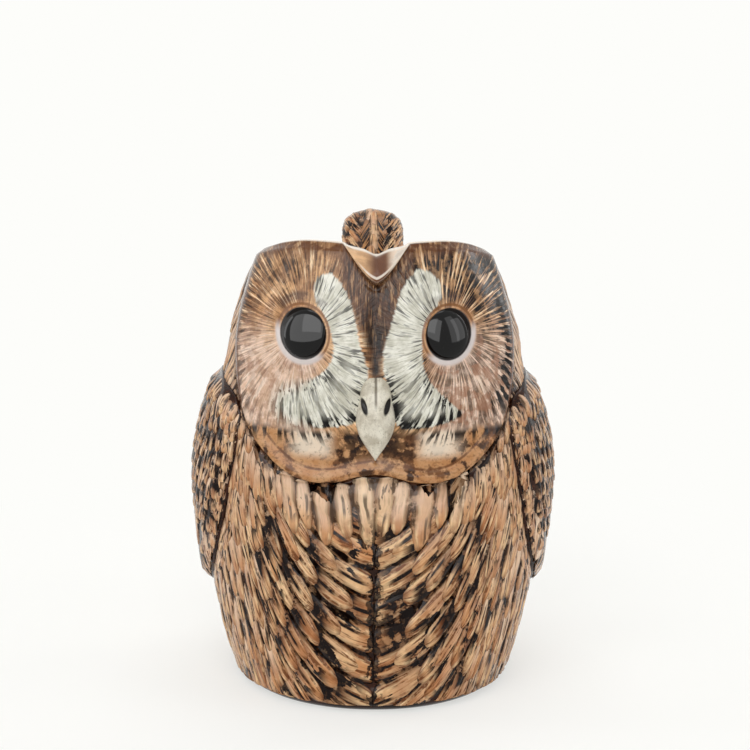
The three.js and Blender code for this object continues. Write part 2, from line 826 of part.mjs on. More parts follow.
// Handle: the strap swept along its middle line, flared where it is luted on
function handleSolid(cutter) {
  const wallY = section(Math.PI, handleRootHeight).point.y - handleSink;
  const spanY = handleReach - handleCrown - wallY;
  const spanZ = handleTop - handleCrown - handleFootHeight;
  const line = new THREE.CatmullRomCurve3(handleShares.map(([out, up]) => new THREE.Vector3(
    0,
    wallY + out * spanY,
    handleFootHeight + up * spanZ,
  )), false, 'centripetal');
  const rings = [];
  for (let k = 0; k <= handleSteps; k += 1) {
    const share = k / handleSteps;
    const centre = line.getPointAt(share);
    const along = line.getTangentAt(share);
    const up = new THREE.Vector3(0, -along.z, along.y);
    const nearEnd = Math.min(share, 1 - share) * handleSteps;
    const flare = 1 + handleFlareShare * Math.max(1 - nearEnd / flareSteps, 0) ** 2;
    const widthShare = THREE.MathUtils.lerp(1, handleFootWidthShare, softStep(share));
    rings.push(strapSection(widthShare, flare).map(([across, rise]) => new THREE.Vector3(
      across,
      centre.y + up.y * rise,
      centre.z + up.z * rise,
    )));
  }
  const middle = (ring) => ring.reduce((sum, point) => sum.add(point), new THREE.Vector3())
    .divideScalar(ring.length);
  const strap = loft([[middle(rings[0])], ...rings, [middle(rings.at(-1))]]);
  return toSolid(strap).subtract(cutter);
}

// Glazes
const glaze = (color, roughness) => new THREE.MeshStandardMaterial({ color, roughness, metalness: 0 });
const bodyGlaze = glaze(0x9a7450, 0.2);
const handleGlaze = glaze(0x8f6f57, 0.2);
const wingGlaze = glaze(0x8c6846, 0.22);
const tailGlaze = glaze(0x7d5c40, 0.22);
const beakGlaze = glaze(0xb9b09c, 0.25);
const eyeGlaze = glaze(0x0c0c0f, 0.05);

// Assembly
const owlPitcher = new THREE.Group();

function addPiece(name, geometry, material) {
  const mesh = new THREE.Mesh(geometry, material);
  mesh.name = name;
  owlPitcher.add(mesh);
}

const cutter = seatCutter();
let vessel = toSolid(vesselGeometry());
const eyeFrames = { left_eye: faceFrame(1), right_eye: faceFrame(-1) };
for (const [name, frame] of Object.entries(eyeFrames)) {
  const socket = eyeGeometry(seatGap).applyMatrix4(frame);
  vessel = vessel.subtract(toSolid(socket));
  addPiece(name, eyeGeometry(0).applyMatrix4(frame), eyeGlaze);
}
addPiece('body', toGeometry(vessel), bodyGlaze);
addPiece('handle', toGeometry(handleSolid(cutter)), handleGlaze);
addPiece('beak', toGeometry(beakSolid(cutter)), beakGlaze);
addPiece('left_wing', toGeometry(wingSolid(1, cutter)), wingGlaze);
addPiece('right_wing', toGeometry(wingSolid(-1, cutter)), wingGlaze);
addPiece('tail', toGeometry(tailSolid(cutter)), tailGlaze);

// The jug stands centred over the origin
const bounds = new THREE.Box3().setFromObject(owlPitcher);
owlPitcher.position.y = -bounds.getCenter(new THREE.Vector3()).y;

export default owlPitcher;
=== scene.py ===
import math

import bpy
import numpy as np
from mathutils import Matrix, Vector


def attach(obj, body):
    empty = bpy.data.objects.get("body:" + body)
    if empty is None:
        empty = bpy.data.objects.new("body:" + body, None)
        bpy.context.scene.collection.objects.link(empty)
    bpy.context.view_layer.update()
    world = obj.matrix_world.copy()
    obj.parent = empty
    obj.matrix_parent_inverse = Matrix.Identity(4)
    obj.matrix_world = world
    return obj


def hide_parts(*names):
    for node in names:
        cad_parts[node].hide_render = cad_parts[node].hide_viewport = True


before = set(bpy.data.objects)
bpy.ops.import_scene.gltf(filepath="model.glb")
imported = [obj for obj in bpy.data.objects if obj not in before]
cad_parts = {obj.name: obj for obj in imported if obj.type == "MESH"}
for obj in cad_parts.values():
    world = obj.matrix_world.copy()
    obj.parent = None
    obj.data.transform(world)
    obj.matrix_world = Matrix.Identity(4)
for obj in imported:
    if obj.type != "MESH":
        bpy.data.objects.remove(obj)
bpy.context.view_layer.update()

mm = 0.001
fit = 0.02  # the skins of eyes and beak lie this much inside their solids

# Form of the vessel
vessel = {
    "height": 134.6, "halfWidth": 50.9, "frontReach": 48.0, "backReach": 47.2,
    "axisY": -10.153,  # the vessel's own axis in the shared frame
    "wall": 4.5, "floor": 6.0, "floorRadius": 14.0, "footRadius": 3.6, "footRing": 6.5, "footRecess": 1.8,
    "columns": 360,
    "frontDensity": 0.55,  # lower packs more columns into the face
    "bellyHeight": 60.0, "bellyRows": 71, "headRows": 121, "insideRows": 20, "floorRows": 7,
}
vesselShares = [
    (0.000, 0.792, 0.930, 0.880), (0.105, 0.876, 0.971, 0.943), (0.210, 0.934, 0.992, 0.979),
    (0.315, 0.974, 1.000, 0.996), (0.420, 1.000, 0.996, 1.000), (0.495, 0.998, 0.983, 0.992),
    (0.570, 0.964, 0.968, 0.966), (0.642, 0.906, 0.960, 0.924), (0.716, 0.852, 0.954, 0.873),
    (0.776, 0.831, 0.934, 0.835), (0.836, 0.787, 0.900, 0.797), (0.896, 0.727, 0.850, 0.767),
    (0.948, 0.666, 0.787, 0.742), (1.000, 0.600, 0.735, 0.715),
]
squarenessShares = [
    (0.00, 2.10, 2.00), (0.35, 2.15, 2.05), (0.55, 2.25, 2.10),
    (0.72, 2.45, 2.10), (0.88, 2.40, 2.10), (1.00, 2.20, 2.05),
]
rimShares = [
    (0.00, 0.975), (0.035, 0.990), (0.08, 0.998), (0.16, 1.000), (0.24, 0.997), (0.33, 0.986), (0.42, 0.969),
    (0.50, 0.955), (0.62, 0.934), (0.75, 0.917), (0.88, 0.908), (1.00, 0.905),
]

# Form of the face
face = {
    "discHalfWidth": 40.2, "edgeRise": 1.1, "edgeSpread": 1.6, "edgeInset": 1.8, "grooveDepth": 0.7,
    "chinOverhang": 1.3, "chinCrease": 1.3, "creaseReach": 7.0, "chinSoftness": 1.3,
    "chinHalfWidth": 36.0, "chinFade": 15.0,
    "eyeSpacing": 40.6, "eyeHeight": 109.8, "eyeWidth": 12.3, "eyeTall": 13.4, "eyeDome": 3.4,
    "eyeSkirt": 1.2, "eyeTilt": 14.0, "bowlDepth": 1.1, "bowlRadius": 12.0,
    "lidRise": 0.5, "lidRing": 1.08, "lidSpread": 0.11,
    "padRise": 1.2, "padSpread": 4.6, "padOffset": 9.4, "padLength": 17.0, "padHeight": 99.0,
    "valleyDepth": 1.1, "valleySpread": 2.6, "valleyHeight": 110.0, "valleyLength": 11.0,
    "chestDepth": 1.3, "chestSpread": 2.4, "chestTop": 64.0, "chestFade": 8.0,
    "featherSpacing": 8.6, "featherRise": 0.9, "featherFade": 6.0, "featherClimb": 0.45,
    "featherSweep": 0.243 * 134.6, "featherCrest": 0.3, "beakTip": 77.6,
}
discShares = [
    (0.00, 1.060), (0.50, 1.070), (0.83, 0.985), (0.93, 0.890), (0.99, 0.812), (1.00, 0.750),
    (0.97, 0.672), (0.885, 0.600), (0.79, 0.565), (0.67, 0.535), (0.55, 0.516), (0.42, 0.508),
    (0.27, 0.511), (0.12, 0.523), (0.00, 0.528),
]
padLines = [  # white pads of the owl's right and left: millimetres from the middle and above the foot
    [(-15.7, 125.5), (-17.4, 122.7), (-16.7, 118.1), (-14.0, 114.2), (-12.2, 109.2), (-12.2, 103.5),
     (-15.2, 99.4), (-19.2, 97.2), (-23.5, 96.3), (-28.1, 93.2), (-29.5, 88.6), (-27.3, 85.2),
     (-23.0, 83.6), (-16.5, 83.6), (-10.7, 84.6), (-5.0, 86.2), (-3.4, 91.5), (-2.4, 96.9),
     (-2.0, 100.0), (-3.8, 105.2), (-4.9, 110.5), (-6.6, 117.5), (-9.3, 123.1), (-12.5, 126.2)],
    [(12.5, 127.7), (17.4, 124.4), (18.4, 120.3), (15.7, 115.9), (13.6, 112.4), (12.9, 107.2),
     (13.4, 100.9), (16.5, 95.6), (20.5, 91.6), (24.5, 87.4), (19.3, 85.0), (12.8, 84.0),
     (7.5, 84.2), (4.8, 86.9), (3.8, 93.7), (2.4, 98.5), (1.8, 101.1), (2.3, 107.2),
     (3.7, 111.4), (5.3, 117.2), (7.2, 122.7), (9.8, 126.2)],
]

# Pouring lip
lip = {
    "halfWidth": 9.8, "reach": 8.8, "droop": 4.7, "thickness": 1.6, "rootDrop": 10.2,
    "rootShares": (0.42, 0.82), "troughShares": (0.5, 0.55), "droopPower": 1.8,
    "stations": 19, "crestDrop": 0.03, "reliefFade": 2.2,
}


def readTable(table, place, column):  # smooth curve through one column of a table
    rows = np.asarray(table, float)
    xs, ys = rows[:, 0], rows[:, column]
    at = np.clip(np.asarray(place, float), xs[0], xs[-1])
    row = np.clip(np.searchsorted(xs, at, side="right") - 1, 0, len(xs) - 2)
    low = np.maximum(np.arange(len(xs)) - 1, 0)
    high = np.minimum(np.arange(len(xs)) + 1, len(xs) - 1)
    slope = (ys[high] - ys[low]) / (xs[high] - xs[low])
    span = xs[row + 1] - xs[row]
    u = (at - xs[row]) / span
    rise = ys[row + 1] - ys[row]
    first, last = slope[row] * span, slope[row + 1] * span
    return ys[row] + u * first + u**2 * (3 * rise - 2 * first - last) + u**3 * (first + last - 2 * rise)


def softStep(value):
    v = np.clip(value, 0.0, 1.0)
    return v * v * (3 - 2 * v)


def bell(distance, spread):
    return np.exp(-((np.asarray(distance) / spread) ** 2))


def smoothLine(points, closed, steps):  # centripetal spline, with so many steps per stretch
    p = np.asarray(points, float)
    first, last = (p[-1:], p[:2]) if closed else (2 * p[:1] - p[1:2], 2 * p[-1:] - p[-2:-1])
    p = np.vstack([first, p, last])
    made = []
    for k in range(1, len(p) - 2):
        level = p[k - 1:k + 3]
        gaps = [max(np.linalg.norm(b - a), 1e-9) for a, b in zip(level, level[1:])]
        knots = np.append(0.0, np.cumsum(np.sqrt(gaps)))
        t = np.linspace(knots[1], knots[2], steps, endpoint=False)[:, None]
        for pairs in (((0, 1), (1, 2), (2, 3)), ((0, 2), (1, 3)), ((1, 2),)):
            level = [((knots[j] - t) * level[n] + (t - knots[i]) * level[n + 1]) / (knots[j] - knots[i])
                     for n, (i, j) in enumerate(pairs)]
        made.append(level[0])
    if not closed:
        made.append(p[-2:-1])
    return np.vstack(made)


def runOf(line):  # way along a line at each of its points
    return np.concatenate([[0], np.cumsum(np.linalg.norm(np.diff(line, axis=0), axis=1))])


def signedDistance(loop, x, z):  # distance from a closed line in the front view, positive inside
    px, pz = np.ravel(x).astype(float), np.ravel(z).astype(float)
    nearest = np.full(px.size, np.inf)
    inside = np.zeros(px.size, bool)
    for a, b in zip(loop, np.roll(loop, -1, axis=0)):
        sx, sz = b - a
        share = np.clip(((px - a[0]) * sx + (pz - a[1]) * sz) / (sx * sx + sz * sz), 0, 1)
        nearest = np.minimum(nearest, np.hypot(px - a[0] - share * sx, pz - a[1] - share * sz))
        if sz:
            inside ^= ((a[1] > pz) != (b[1] > pz)) & (px < a[0] + (pz - a[1]) / sz * sx)
    return np.where(inside, nearest, -nearest).reshape(np.shape(x))


discRight = [(a * face["discHalfWidth"], b * vessel["height"]) for a, b in discShares]
discLoop = smoothLine(discRight + [(-x, z) for x, z in discRight[-2:0:-1]], True, 4)
padLoops = [smoothLine(points, True, 4) for points in padLines]


def climb(x):  # how far a line of breast feathers has risen at x
    f = face
    return f["featherClimb"] * np.abs(x) + f["featherSweep"] * (np.abs(x) / f["chinHalfWidth"]) ** 3


def frontRelief(x, z):
    f = face
    edge = signedDistance(discLoop, x, z)
    middle = softStep((f["chinHalfWidth"] - np.abs(x)) / f["chinFade"])
    chinward = softStep((f["eyeHeight"] - z) / (f["eyeHeight"] - f["beakTip"])) * middle
    inside = softStep(edge / f["chinSoftness"] + 0.5)
    relief = f["edgeRise"] * bell(edge - f["edgeInset"], f["edgeSpread"])
    relief -= f["grooveDepth"] * bell(edge + f["edgeInset"] / 2, f["edgeSpread"] / 2)
    relief += f["chinOverhang"] * chinward * inside * bell(np.maximum(edge, 0), 2 * f["creaseReach"])
    relief -= f["chinCrease"] * chinward * (1 - inside) * bell(edge, f["creaseReach"])
    for side in (-1, 1):
        dx, dz = x - side * f["eyeSpacing"] / 2, z - f["eyeHeight"]
        padX = bell(x - side * f["padOffset"], f["padSpread"])
        padZ = bell(z - f["padHeight"], f["padLength"])
        ring = np.hypot(dx / (f["eyeWidth"] / 2), dz / (f["eyeTall"] / 2))
        relief -= f["bowlDepth"] * bell(np.hypot(dx, dz), f["bowlRadius"])
        relief += f["padRise"] * padX * padZ + f["lidRise"] * bell(ring - f["lidRing"], f["lidSpread"])
    relief -= f["valleyDepth"] * bell(x, f["valleySpread"]) * bell(z - f["valleyHeight"], f["valleyLength"])
    aboveFoot = z - vessel["footRadius"]
    chest = softStep((f["chestTop"] - z) / f["chestFade"]) * softStep(aboveFoot / f["chestFade"])
    relief -= f["chestDepth"] * chest * bell(x, f["chestSpread"])
    lines = (z - climb(x)) / f["featherSpacing"]
    share = lines - np.floor(lines)
    leaf = softStep(share / f["featherCrest"]) * softStep((1 - share) / (1 - f["featherCrest"]))
    up = softStep(-edge / f["featherFade"]) * softStep(aboveFoot / f["featherFade"])
    return relief + f["featherRise"] * middle * up * (leaf - 0.5)


def section(turn, height):  # level section round the own axis: point and outward direction
    v = vessel
    share = height / v["height"]
    front = np.cos(turn) > 0
    low = np.clip(v["footRadius"] - height, 0, v["footRadius"])
    tuck = v["footRadius"] - np.sqrt(np.maximum(v["footRadius"] ** 2 - low**2, 0))
    halfWidth = readTable(vesselShares, share, 1) * v["halfWidth"] - tuck
    reach = np.where(front, readTable(vesselShares, share, 2) * v["frontReach"],
                     readTable(vesselShares, share, 3) * v["backReach"]) - tuck
    power = np.where(front, readTable(squarenessShares, share, 1), readTable(squarenessShares, share, 2))
    sine, cosine = np.sin(turn), np.cos(turn)
    x = halfWidth * np.sign(sine) * np.abs(sine) ** (2 / power)
    y = -reach * np.sign(cosine) * np.abs(cosine) ** (2 / power)
    nx = np.sign(x) * np.abs(x / halfWidth) ** (power - 1) / halfWidth
    ny = np.sign(y) * np.abs(y / reach) ** (power - 1) / reach
    size = np.hypot(nx, ny)
    return x, y, nx / size, ny / size


def facing(ny):  # how much of the front's relief a part of the wall has
    return softStep(0.5 - 2 * ny)


def skin(turn, height):  # outer skin with its relief, round the own axis
    turn, height = np.broadcast_arrays(np.asarray(turn, float), np.asarray(height, float))
    x, y, nx, ny = section(turn, height)
    amount = facing(ny) * frontRelief(x, height)
    return np.stack([x + nx * amount, y + ny * amount, height], -1)


def skinNormal(turn, height, turnStep=0.005, heightStep=0.25):
    across = skin(turn + turnStep, height) - skin(turn - turnStep, height)
    up = skin(turn, height + heightStep) - skin(turn, height - heightStep)
    n = np.cross(across, up)
    return n / np.linalg.norm(n, axis=-1, keepdims=True)


def rimCrest(turn):
    return readTable(rimShares, np.abs(turn) / math.pi, 1) * vessel["height"]


def toFrame(points):  # millimetres round the own axis to metres in the shared frame
    return (np.array(points, float) + (0, vessel["axisY"], 0)) * mm


# Meshes
def linked(name, data):
    obj = bpy.data.objects.new(name, data)
    bpy.context.scene.collection.objects.link(obj)
    return obj


def makeMesh(name, points, faces, maps=None, values=None):  # maps per face corner, values per point
    mesh = bpy.data.meshes.new(name)
    mesh.from_pydata(np.asarray(points).tolist(), [], faces)
    mesh.update()
    mesh.shade_smooth()
    for key, uvs in (maps or {}).items():
        mesh.uv_layers.new(name=key).data.foreach_set("uv", np.asarray(uvs, np.float32).ravel())
    for key, value in (values or {}).items():
        kind, field = ("FLOAT", "value") if np.ndim(value) == 1 else ("FLOAT_VECTOR", "vector")
        made = mesh.attributes.new(key, kind, "POINT")
        made.data.foreach_set(field, np.asarray(value, np.float32).ravel())
    return linked(name, mesh)


def gridFaces(rows, columns, closed=True):  # rows run upwards, columns to the left seen from outside
    i = np.arange(rows - 1)[:, None] * columns
    j = np.arange(columns if closed else columns - 1)[None, :]
    n = (j + 1) % columns
    return np.stack([i + j, i + n, i + columns + n, i + columns + j], -1).reshape(-1, 4).tolist()


def tubeFaces(rows, columns):  # closed tube; the middle points of its two ends come last
    pairs = [(j, (j + 1) % columns) for j in range(columns)]
    end, top = rows * columns, (rows - 1) * columns
    return (gridFaces(rows, columns) + [[end, b, a] for a, b in pairs]
            + [[end + 1, top + a, top + b] for a, b in pairs])


def placePiece(obj, material, slot, *nodes):
    obj.data.materials.clear()
    obj.data.materials.append(material)
    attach(obj, "root")
    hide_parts(*nodes)
    print("made", obj.name, len(obj.data.polygons), "faces")


# Shader helpers
def tone(*channels):  # a colour written as it is seen, 0 to 255, as scene light
    shares = [c / 255 for c in channels]
    return (*[c / 12.92 if c <= 0.04045 else ((c + 0.055) / 1.055) ** 2.4 for c in shares], 1.0)


class Signal:  # a node's output; sums and products of signals add math nodes to its tree
    def __init__(self, socket):
        self.socket = socket

    def __add__(self, other):
        return calc("ADD", self, other)

    def __sub__(self, other):
        return calc("SUBTRACT", self, other)

    def __rsub__(self, other):
        return calc("SUBTRACT", other, self)

    def __mul__(self, other):
        return calc("MULTIPLY", self, other)

    def __truediv__(self, other):
        return calc("DIVIDE", self, other)

    def __abs__(self):
        return calc("ABSOLUTE", self)

    def ramp(self, low, high, start=0.0, end=1.0):
        inputs = dict(enumerate((self, low, high, start, end)))
        return addNode("ShaderNodeMapRange", inputs, interpolation_type="SMOOTHSTEP")


def addNode(kind, inputs, tree=None, output=0, **settings):  # tree is needed where no input is a signal
    tree = tree or next(v.socket.id_data for v in inputs.values() if isinstance(v, Signal))
    node = tree.nodes.new(kind)
    for key, value in settings.items():
        setattr(node, key, value)
    for key, value in inputs.items():
        connect(value, node.inputs[key])
    return Signal(node.outputs[output])


def connect(value, socket):
    if isinstance(value, Signal):
        socket.id_data.links.new(value.socket, socket)
    else:
        socket.default_value = value


def outputs(signal):
    return [Signal(s) for s in signal.socket.node.outputs if s.enabled]


def calc(operation, *terms):
    return addNode("ShaderNodeMath", dict(enumerate(terms)), operation=operation)


def largest(*terms):
    best = terms[0]
    for term in terms[1:]:
        best = calc("MAXIMUM", best, term)
    return best


def vectorCalc(operation, vector, other=0, output=0, tree=None):
    inputs = {0: vector, "Scale" if operation == "SCALE" else 1: other} if other else {0: vector}
    return addNode("ShaderNodeVectorMath", inputs, tree, output, operation=operation)


def combine(x, y, z):
    return addNode("ShaderNodeCombineXYZ", {0: x, 1: y, 2: z})


def split(vector):
    return outputs(addNode("ShaderNodeSeparateXYZ", {0: vector}))


def attribute(tree, name, output="Fac"):
    return addNode("ShaderNodeAttribute", {}, tree, output, attribute_name=name)


def noise(vector, scale, detail, rough=0.55, twist=0.0):
    inputs = {"Vector": vector, "Scale": scale, "Detail": detail, "Roughness": rough, "Distortion": twist}
    return addNode("ShaderNodeTexNoise", inputs)


def blend(share, a, b):
    return addNode("ShaderNodeMix", {0: share, 6: a, 7: b}, output=2, data_type="RGBA", blend_type="MIX")


def coated(color, colors, *coats):  # coats of paint over a colour, each a share and a colour or its name
    for share, coat in coats:
        color = blend(share, color, colors[coat] if isinstance(coat, str) else coat)
    return color


def makeGroup(name, inputs, results):
    tree = bpy.data.node_groups.new(name, "ShaderNodeTree")
    for key in inputs + results:
        kind = "NodeSocketVector" if key == "Vector" else "NodeSocketFloat"
        tree.interface.new_socket(key, in_out="OUTPUT" if key in results else "INPUT", socket_type=kind)
    return tree, [Signal(s) for s in tree.nodes.new("NodeGroupInput").outputs][:len(inputs)]


def finishGroup(tree, *results):
    for value, socket in zip(results, tree.nodes.new("NodeGroupOutput").inputs):
        connect(value, socket)
    return tree


def useGroup(group, *inputs):
    return outputs(addNode("ShaderNodeGroup", dict(enumerate(inputs)), node_tree=group))


def streakGroup():  # brush strokes: noise drawn out along Y, broken into separate marks
    inputs = ("Vector", "Across", "Along", "Share")
    tree, (vector, across, along, share) = makeGroup("brushStrokes", inputs, ("Mask", "Soft"))
    x, y, z = split(vector)
    soft = noise(combine(x * across, y * along, z), 1.0, 2.5, 0.6, 0.2)
    level = (1.0 - share).ramp(0.0, 1.0, 0.32, 0.68)
    return finishGroup(tree, (soft - level).ramp(-0.015, 0.05), soft)


def mottleGroup():  # uneven wash of a hand-painted colour: broad clouds with small specks
    tree, (vector, scale) = makeGroup("mottle", ("Vector", "Scale"), ("Cloud", "Speck"))
    wide = vectorCalc("SCALE", vector, scale)
    cloud = noise(wide, 1.0, 4.0, 0.6)
    speck = noise(vectorCalc("SCALE", wide, 9.0), 1.0, 2.0, 0.5)
    return finishGroup(tree, cloud.ramp(0.34, 0.66), speck.ramp(0.56, 0.68))


strokes = streakGroup()
mottle = mottleGroup()


def newMaterial(name, display):
    material = bpy.data.materials.new(name)
    material.use_nodes = True
    material.diffuse_color = display
    shader = material.node_tree.nodes["Principled BSDF"].inputs
    for key, value in (("Specular IOR Level", 0.11), ("Coat Weight", 0.08), ("Coat Roughness", 0.05)):
        shader[key].default_value = value
    return material, material.node_tree, shader


def placeIn(tree):  # millimetres in the shared frame
    return vectorCalc("SCALE", addNode("ShaderNodeTexCoord", {}, tree, "Object"), 1000.0)


def finishGlaze(shader, color, height, bump=0.35, roughness=(0.1, 0.2)):
    coords = addNode("ShaderNodeTexCoord", {}, color.socket.id_data, "Object")
    total = height + noise(coords, 420.0, 2.0) * 0.12
    relief = addNode("ShaderNodeBump", {"Strength": bump, "Distance": 0.0004, "Height": total})
    gloss = noise(coords, 260.0, 3.0).ramp(0.3, 0.7, *roughness)
    ends = {"Base Color": color, "Roughness": gloss, "Normal": relief, "Coat Normal": relief}
    for key, value in ends.items():
        connect(value, shader[key])


# Glaze of the body and the painted face
bodyColors = {
    "ground": tone(22, 7, 3), "groundLight": tone(54, 26, 13), "tan": tone(226, 180, 132),
    "rust": tone(172, 112, 62), "brown": tone(96, 56, 30), "deep": tone(14, 4, 1),
    "cheek": tone(232, 202, 180), "crown": tone(208, 162, 116), "pad": tone(240, 238, 226),
    "padShade": tone(176, 172, 152), "padStroke": tone(10, 7, 4), "chin": tone(196, 150, 106),
    "chinPale": tone(238, 222, 200), "browTone": tone(62, 40, 36), "light": tone(252, 222, 182),
    "cheekLight": tone(248, 232, 214), "dapple": tone(158, 112, 86), "lid": tone(214, 204, 200),
    "lidRing": tone(120, 76, 42), "rim": tone(240, 228, 212), "trough": tone(104, 62, 36),
    "inside": tone(236, 228, 212), "foot": tone(214, 200, 178),
}
paint = {  # heights between which a part of the painting comes in, in the order in which it grows
    "aboveChin": (80.0, 86.0), "cheekLow": (115.0, 103.0), "crown": (118.0, 126.0), "brow": (106.0, 116.0),
    "barGrowth": (106.0, 120.0), "barLow": (84.0, 90.0),
    "wedgeSpread": (100.0, 130.0), "wedgeLow": (96.0, 100.0), "wedgeTone": (126.0, 104.0),
    "wedgeTan": (104.0, 122.0),
    "padLow": (107.0, 90.0), "dashes": (104.0, 96.0), "padFade": (100.0, 94.0), "chinBand": (84.5, 82.0),
    "pale": (74.5, 78.0), "besideBeak": (72.0, 79.0), "whiskers": (78.0, 82.0), "edgeLine": (84.0, 92.0),
}


def bodyGlaze():
    c, p = bodyColors, paint
    material, tree, shader = newMaterial("bodyGlaze", c["tan"])
    place = placeIn(tree)
    x, y, z = split(place)
    side = abs(x)
    dx, dz = side - face["eyeSpacing"] / 2, z - face["eyeHeight"]
    reach = calc("SQRT", dx * dx + dz * dz)
    bent = calc("ARCTAN2", dz, dx) + reach * 0.008
    polar = combine(bent, reach, calc("SIGN", x) * 7.0)
    cloud, speck = useGroup(mottle, place, 0.12)
    patch, pool = useGroup(mottle, place, 0.3)[0], useGroup(mottle, place, 0.22)[0]
    disc, pad, rim, belowRim = [attribute(tree, key) for key in ("disc", "pad", "rim", "belowRim")]
    rightHalf = x.ramp(-5.0, 9.0)

    def rightward(start, end):  # from the owl's right half of the face to its left
        return rightHalf.ramp(0.0, 1.0, start, end)

    fine = useGroup(strokes, polar, 30.0, 0.22, 0.52)[0]
    long, longSoft = useGroup(strokes, polar, 19.0, 0.08, rightward(0.42, 0.55))
    bars = calc("SINE", bent * 68.0 + pool * 2.0).ramp(-0.45, 0.0)
    clear = z.ramp(*p["aboveChin"]) * reach.ramp(7.4, 9.5)  # clear of chin and eyes
    darker = rightward(0.8, 1.0)

    # Washes of the facial disc, and strokes that run out from the eyes, denser towards the edge
    cheek = dx.ramp(-9.0, 0.0) * z.ramp(*p["cheekLow"])
    brow = z.ramp(*p["brow"], 0.3, 1.0)
    streaky = pool.ramp(0.35, 0.7) * brow * longSoft.ramp(0.4, 0.6) * darker
    fineMask = fine * clear * disc.ramp(9.0, 1.5, 0.45, 1.0) * (1.0 - cheek * rightward(0.5, 0.12))
    longMask = long * clear * patch.ramp(0.0, 0.6, 0.5, 1.0) * darker * (1.0 - cheek * rightward(0.55, 0.35))
    lights = longSoft.ramp(0.45, 0.36) * clear * cheek.ramp(0.0, 1.0, 0.95, 0.5)
    flat = largest(abs(split(attribute(tree, "skinNormal", "Vector"))[1]), 0.55)
    barReach = longSoft.ramp(0.38, 0.62, 4.6, 9.0) * rightward(0.5, 1.0) * z.ramp(*p["barGrowth"], 1.0, 1.5)
    barMask = bars * (disc / flat - barReach).ramp(0.3, -0.6) * z.ramp(*p["barLow"]) * dx.ramp(4.0, 8.0)
    wash = coated(blend(cloud * 0.7, c["tan"], c["rust"]), c,
                  (cheek * patch.ramp(0.0, 1.0, 0.95, 0.6), "cheek"),
                  (z.ramp(*p["crown"]) * 0.75, "crown"),
                  (patch.ramp(0.3, 0.85) * brow * darker * 0.6, "brown"),
                  (streaky * 0.7, "brown"),
                  (lights, blend(cheek, c["light"], c["cheekLight"])),
                  (fineMask * 0.85, "brown"),
                  (longMask, "deep"),
                  (pool.ramp(0.55, 0.9) * cheek * clear * rightward(0.4, 0.7), "dapple"),
                  (barMask * rightward(0.6, 1.0), "deep"))

    # Dark wedge above the beak
    wedgeWide = z.ramp(*p["wedgeSpread"]) * 9.0 + 1.2
    wedge = (side - wedgeWide).ramp(1.4, -1.4) * z.ramp(*p["wedgeLow"])
    wedgeTone = z.ramp(*p["wedgeTone"], 0.45, 1.0) * patch.ramp(0.0, 0.8, 0.65, 1.0)
    line, lineSoft = useGroup(strokes, combine(x + side * -0.3, z, y * 0.4), 1.6, 0.16, 0.42)
    wash = coated(wash, c,
                  (wedge * 0.85, "brown"),
                  (wedge * wedgeTone * side.ramp(7.0, 0.5, 0.3, 1.0), "deep"),
                  (wedge * line * 0.75, "deep"),
                  (wedge * lineSoft.ramp(0.43, 0.36) * z.ramp(*p["wedgeTan"], 0.1, 0.4), "tan"))

    # White pads with black strokes, strongest low down and near their edges
    lowPad = z.ramp(*p["padLow"])
    padLine = useGroup(strokes, polar, 15.0, 0.10, lowPad.ramp(0.0, 1.0, 0.42, 0.48))[0]
    fineLine = useGroup(strokes, polar, 32.0, 0.2, 0.46)[0]
    nearEdge = pad.ramp(5.5, 1.5, 0.45, 1.0) * side.ramp(34.0, 27.0, 0.4, 1.0)
    dashes = calc("SINE", bent * 56.0 + pool * 5.0).ramp(0.1, 0.5) * longSoft.ramp(0.42, 0.5)
    padFar = (pad - patch.ramp(0.0, 1.0, 0.2, 3.4)).ramp(1.0, -1.0)
    white = coated(blend(pool * 0.6, c["pad"], c["padShade"]), c,
                   (fineLine * 0.6, "padShade"),
                   (padLine * nearEdge * lowPad.ramp(0.0, 1.0, 0.8, 1.0), "padStroke"),
                   (dashes * z.ramp(*p["dashes"]) * padFar * side.ramp(34.0, 28.0) * 0.95, "padStroke"))
    fading = x.ramp(-15.0, -22.0) * z.ramp(*p["padFade"])
    softPad = (pad + (longSoft - 0.5) * 1.6) / (fading * 7.0 + 1.0)
    wash = blend(softPad.ramp(-0.3, 0.5), wash, white)

    # Band under the pads: pale patches, and brown mottling beside the beak
    stray = useGroup(strokes, place, 0.5, 0.9, 0.36)[0]
    pale = side.ramp(10.0, 15.0) * side.ramp(27.0, 20.0) * z.ramp(*p["pale"])
    besideBeak = side.ramp(15.0, 5.0) * z.ramp(*p["besideBeak"]) * patch.ramp(0.25, 0.6)
    pools = pool.ramp(0.58, 0.8) * cloud.ramp(0.3, 0.6) * 0.7
    fold = abs(disc - 4.2).ramp(0.5, 0.15)
    chin = coated(blend(patch * 0.6, c["chin"], c["rust"]), c,
                  (pool.ramp(0.35, 0.85) * 0.85, "brown"),
                  (stray * 0.3, "brown"),
                  (pale * 0.85, "chinPale"),
                  (besideBeak * 0.85, "deep"),
                  (speck * 0.35, "brown"),
                  (pools * (1.0 - pale), "deep"),
                  (fold * patch.ramp(0.0, 0.6, 0.2, 0.8), "brown"),
                  (padLine * z.ramp(*p["whiskers"]) * 0.95, "deep"))

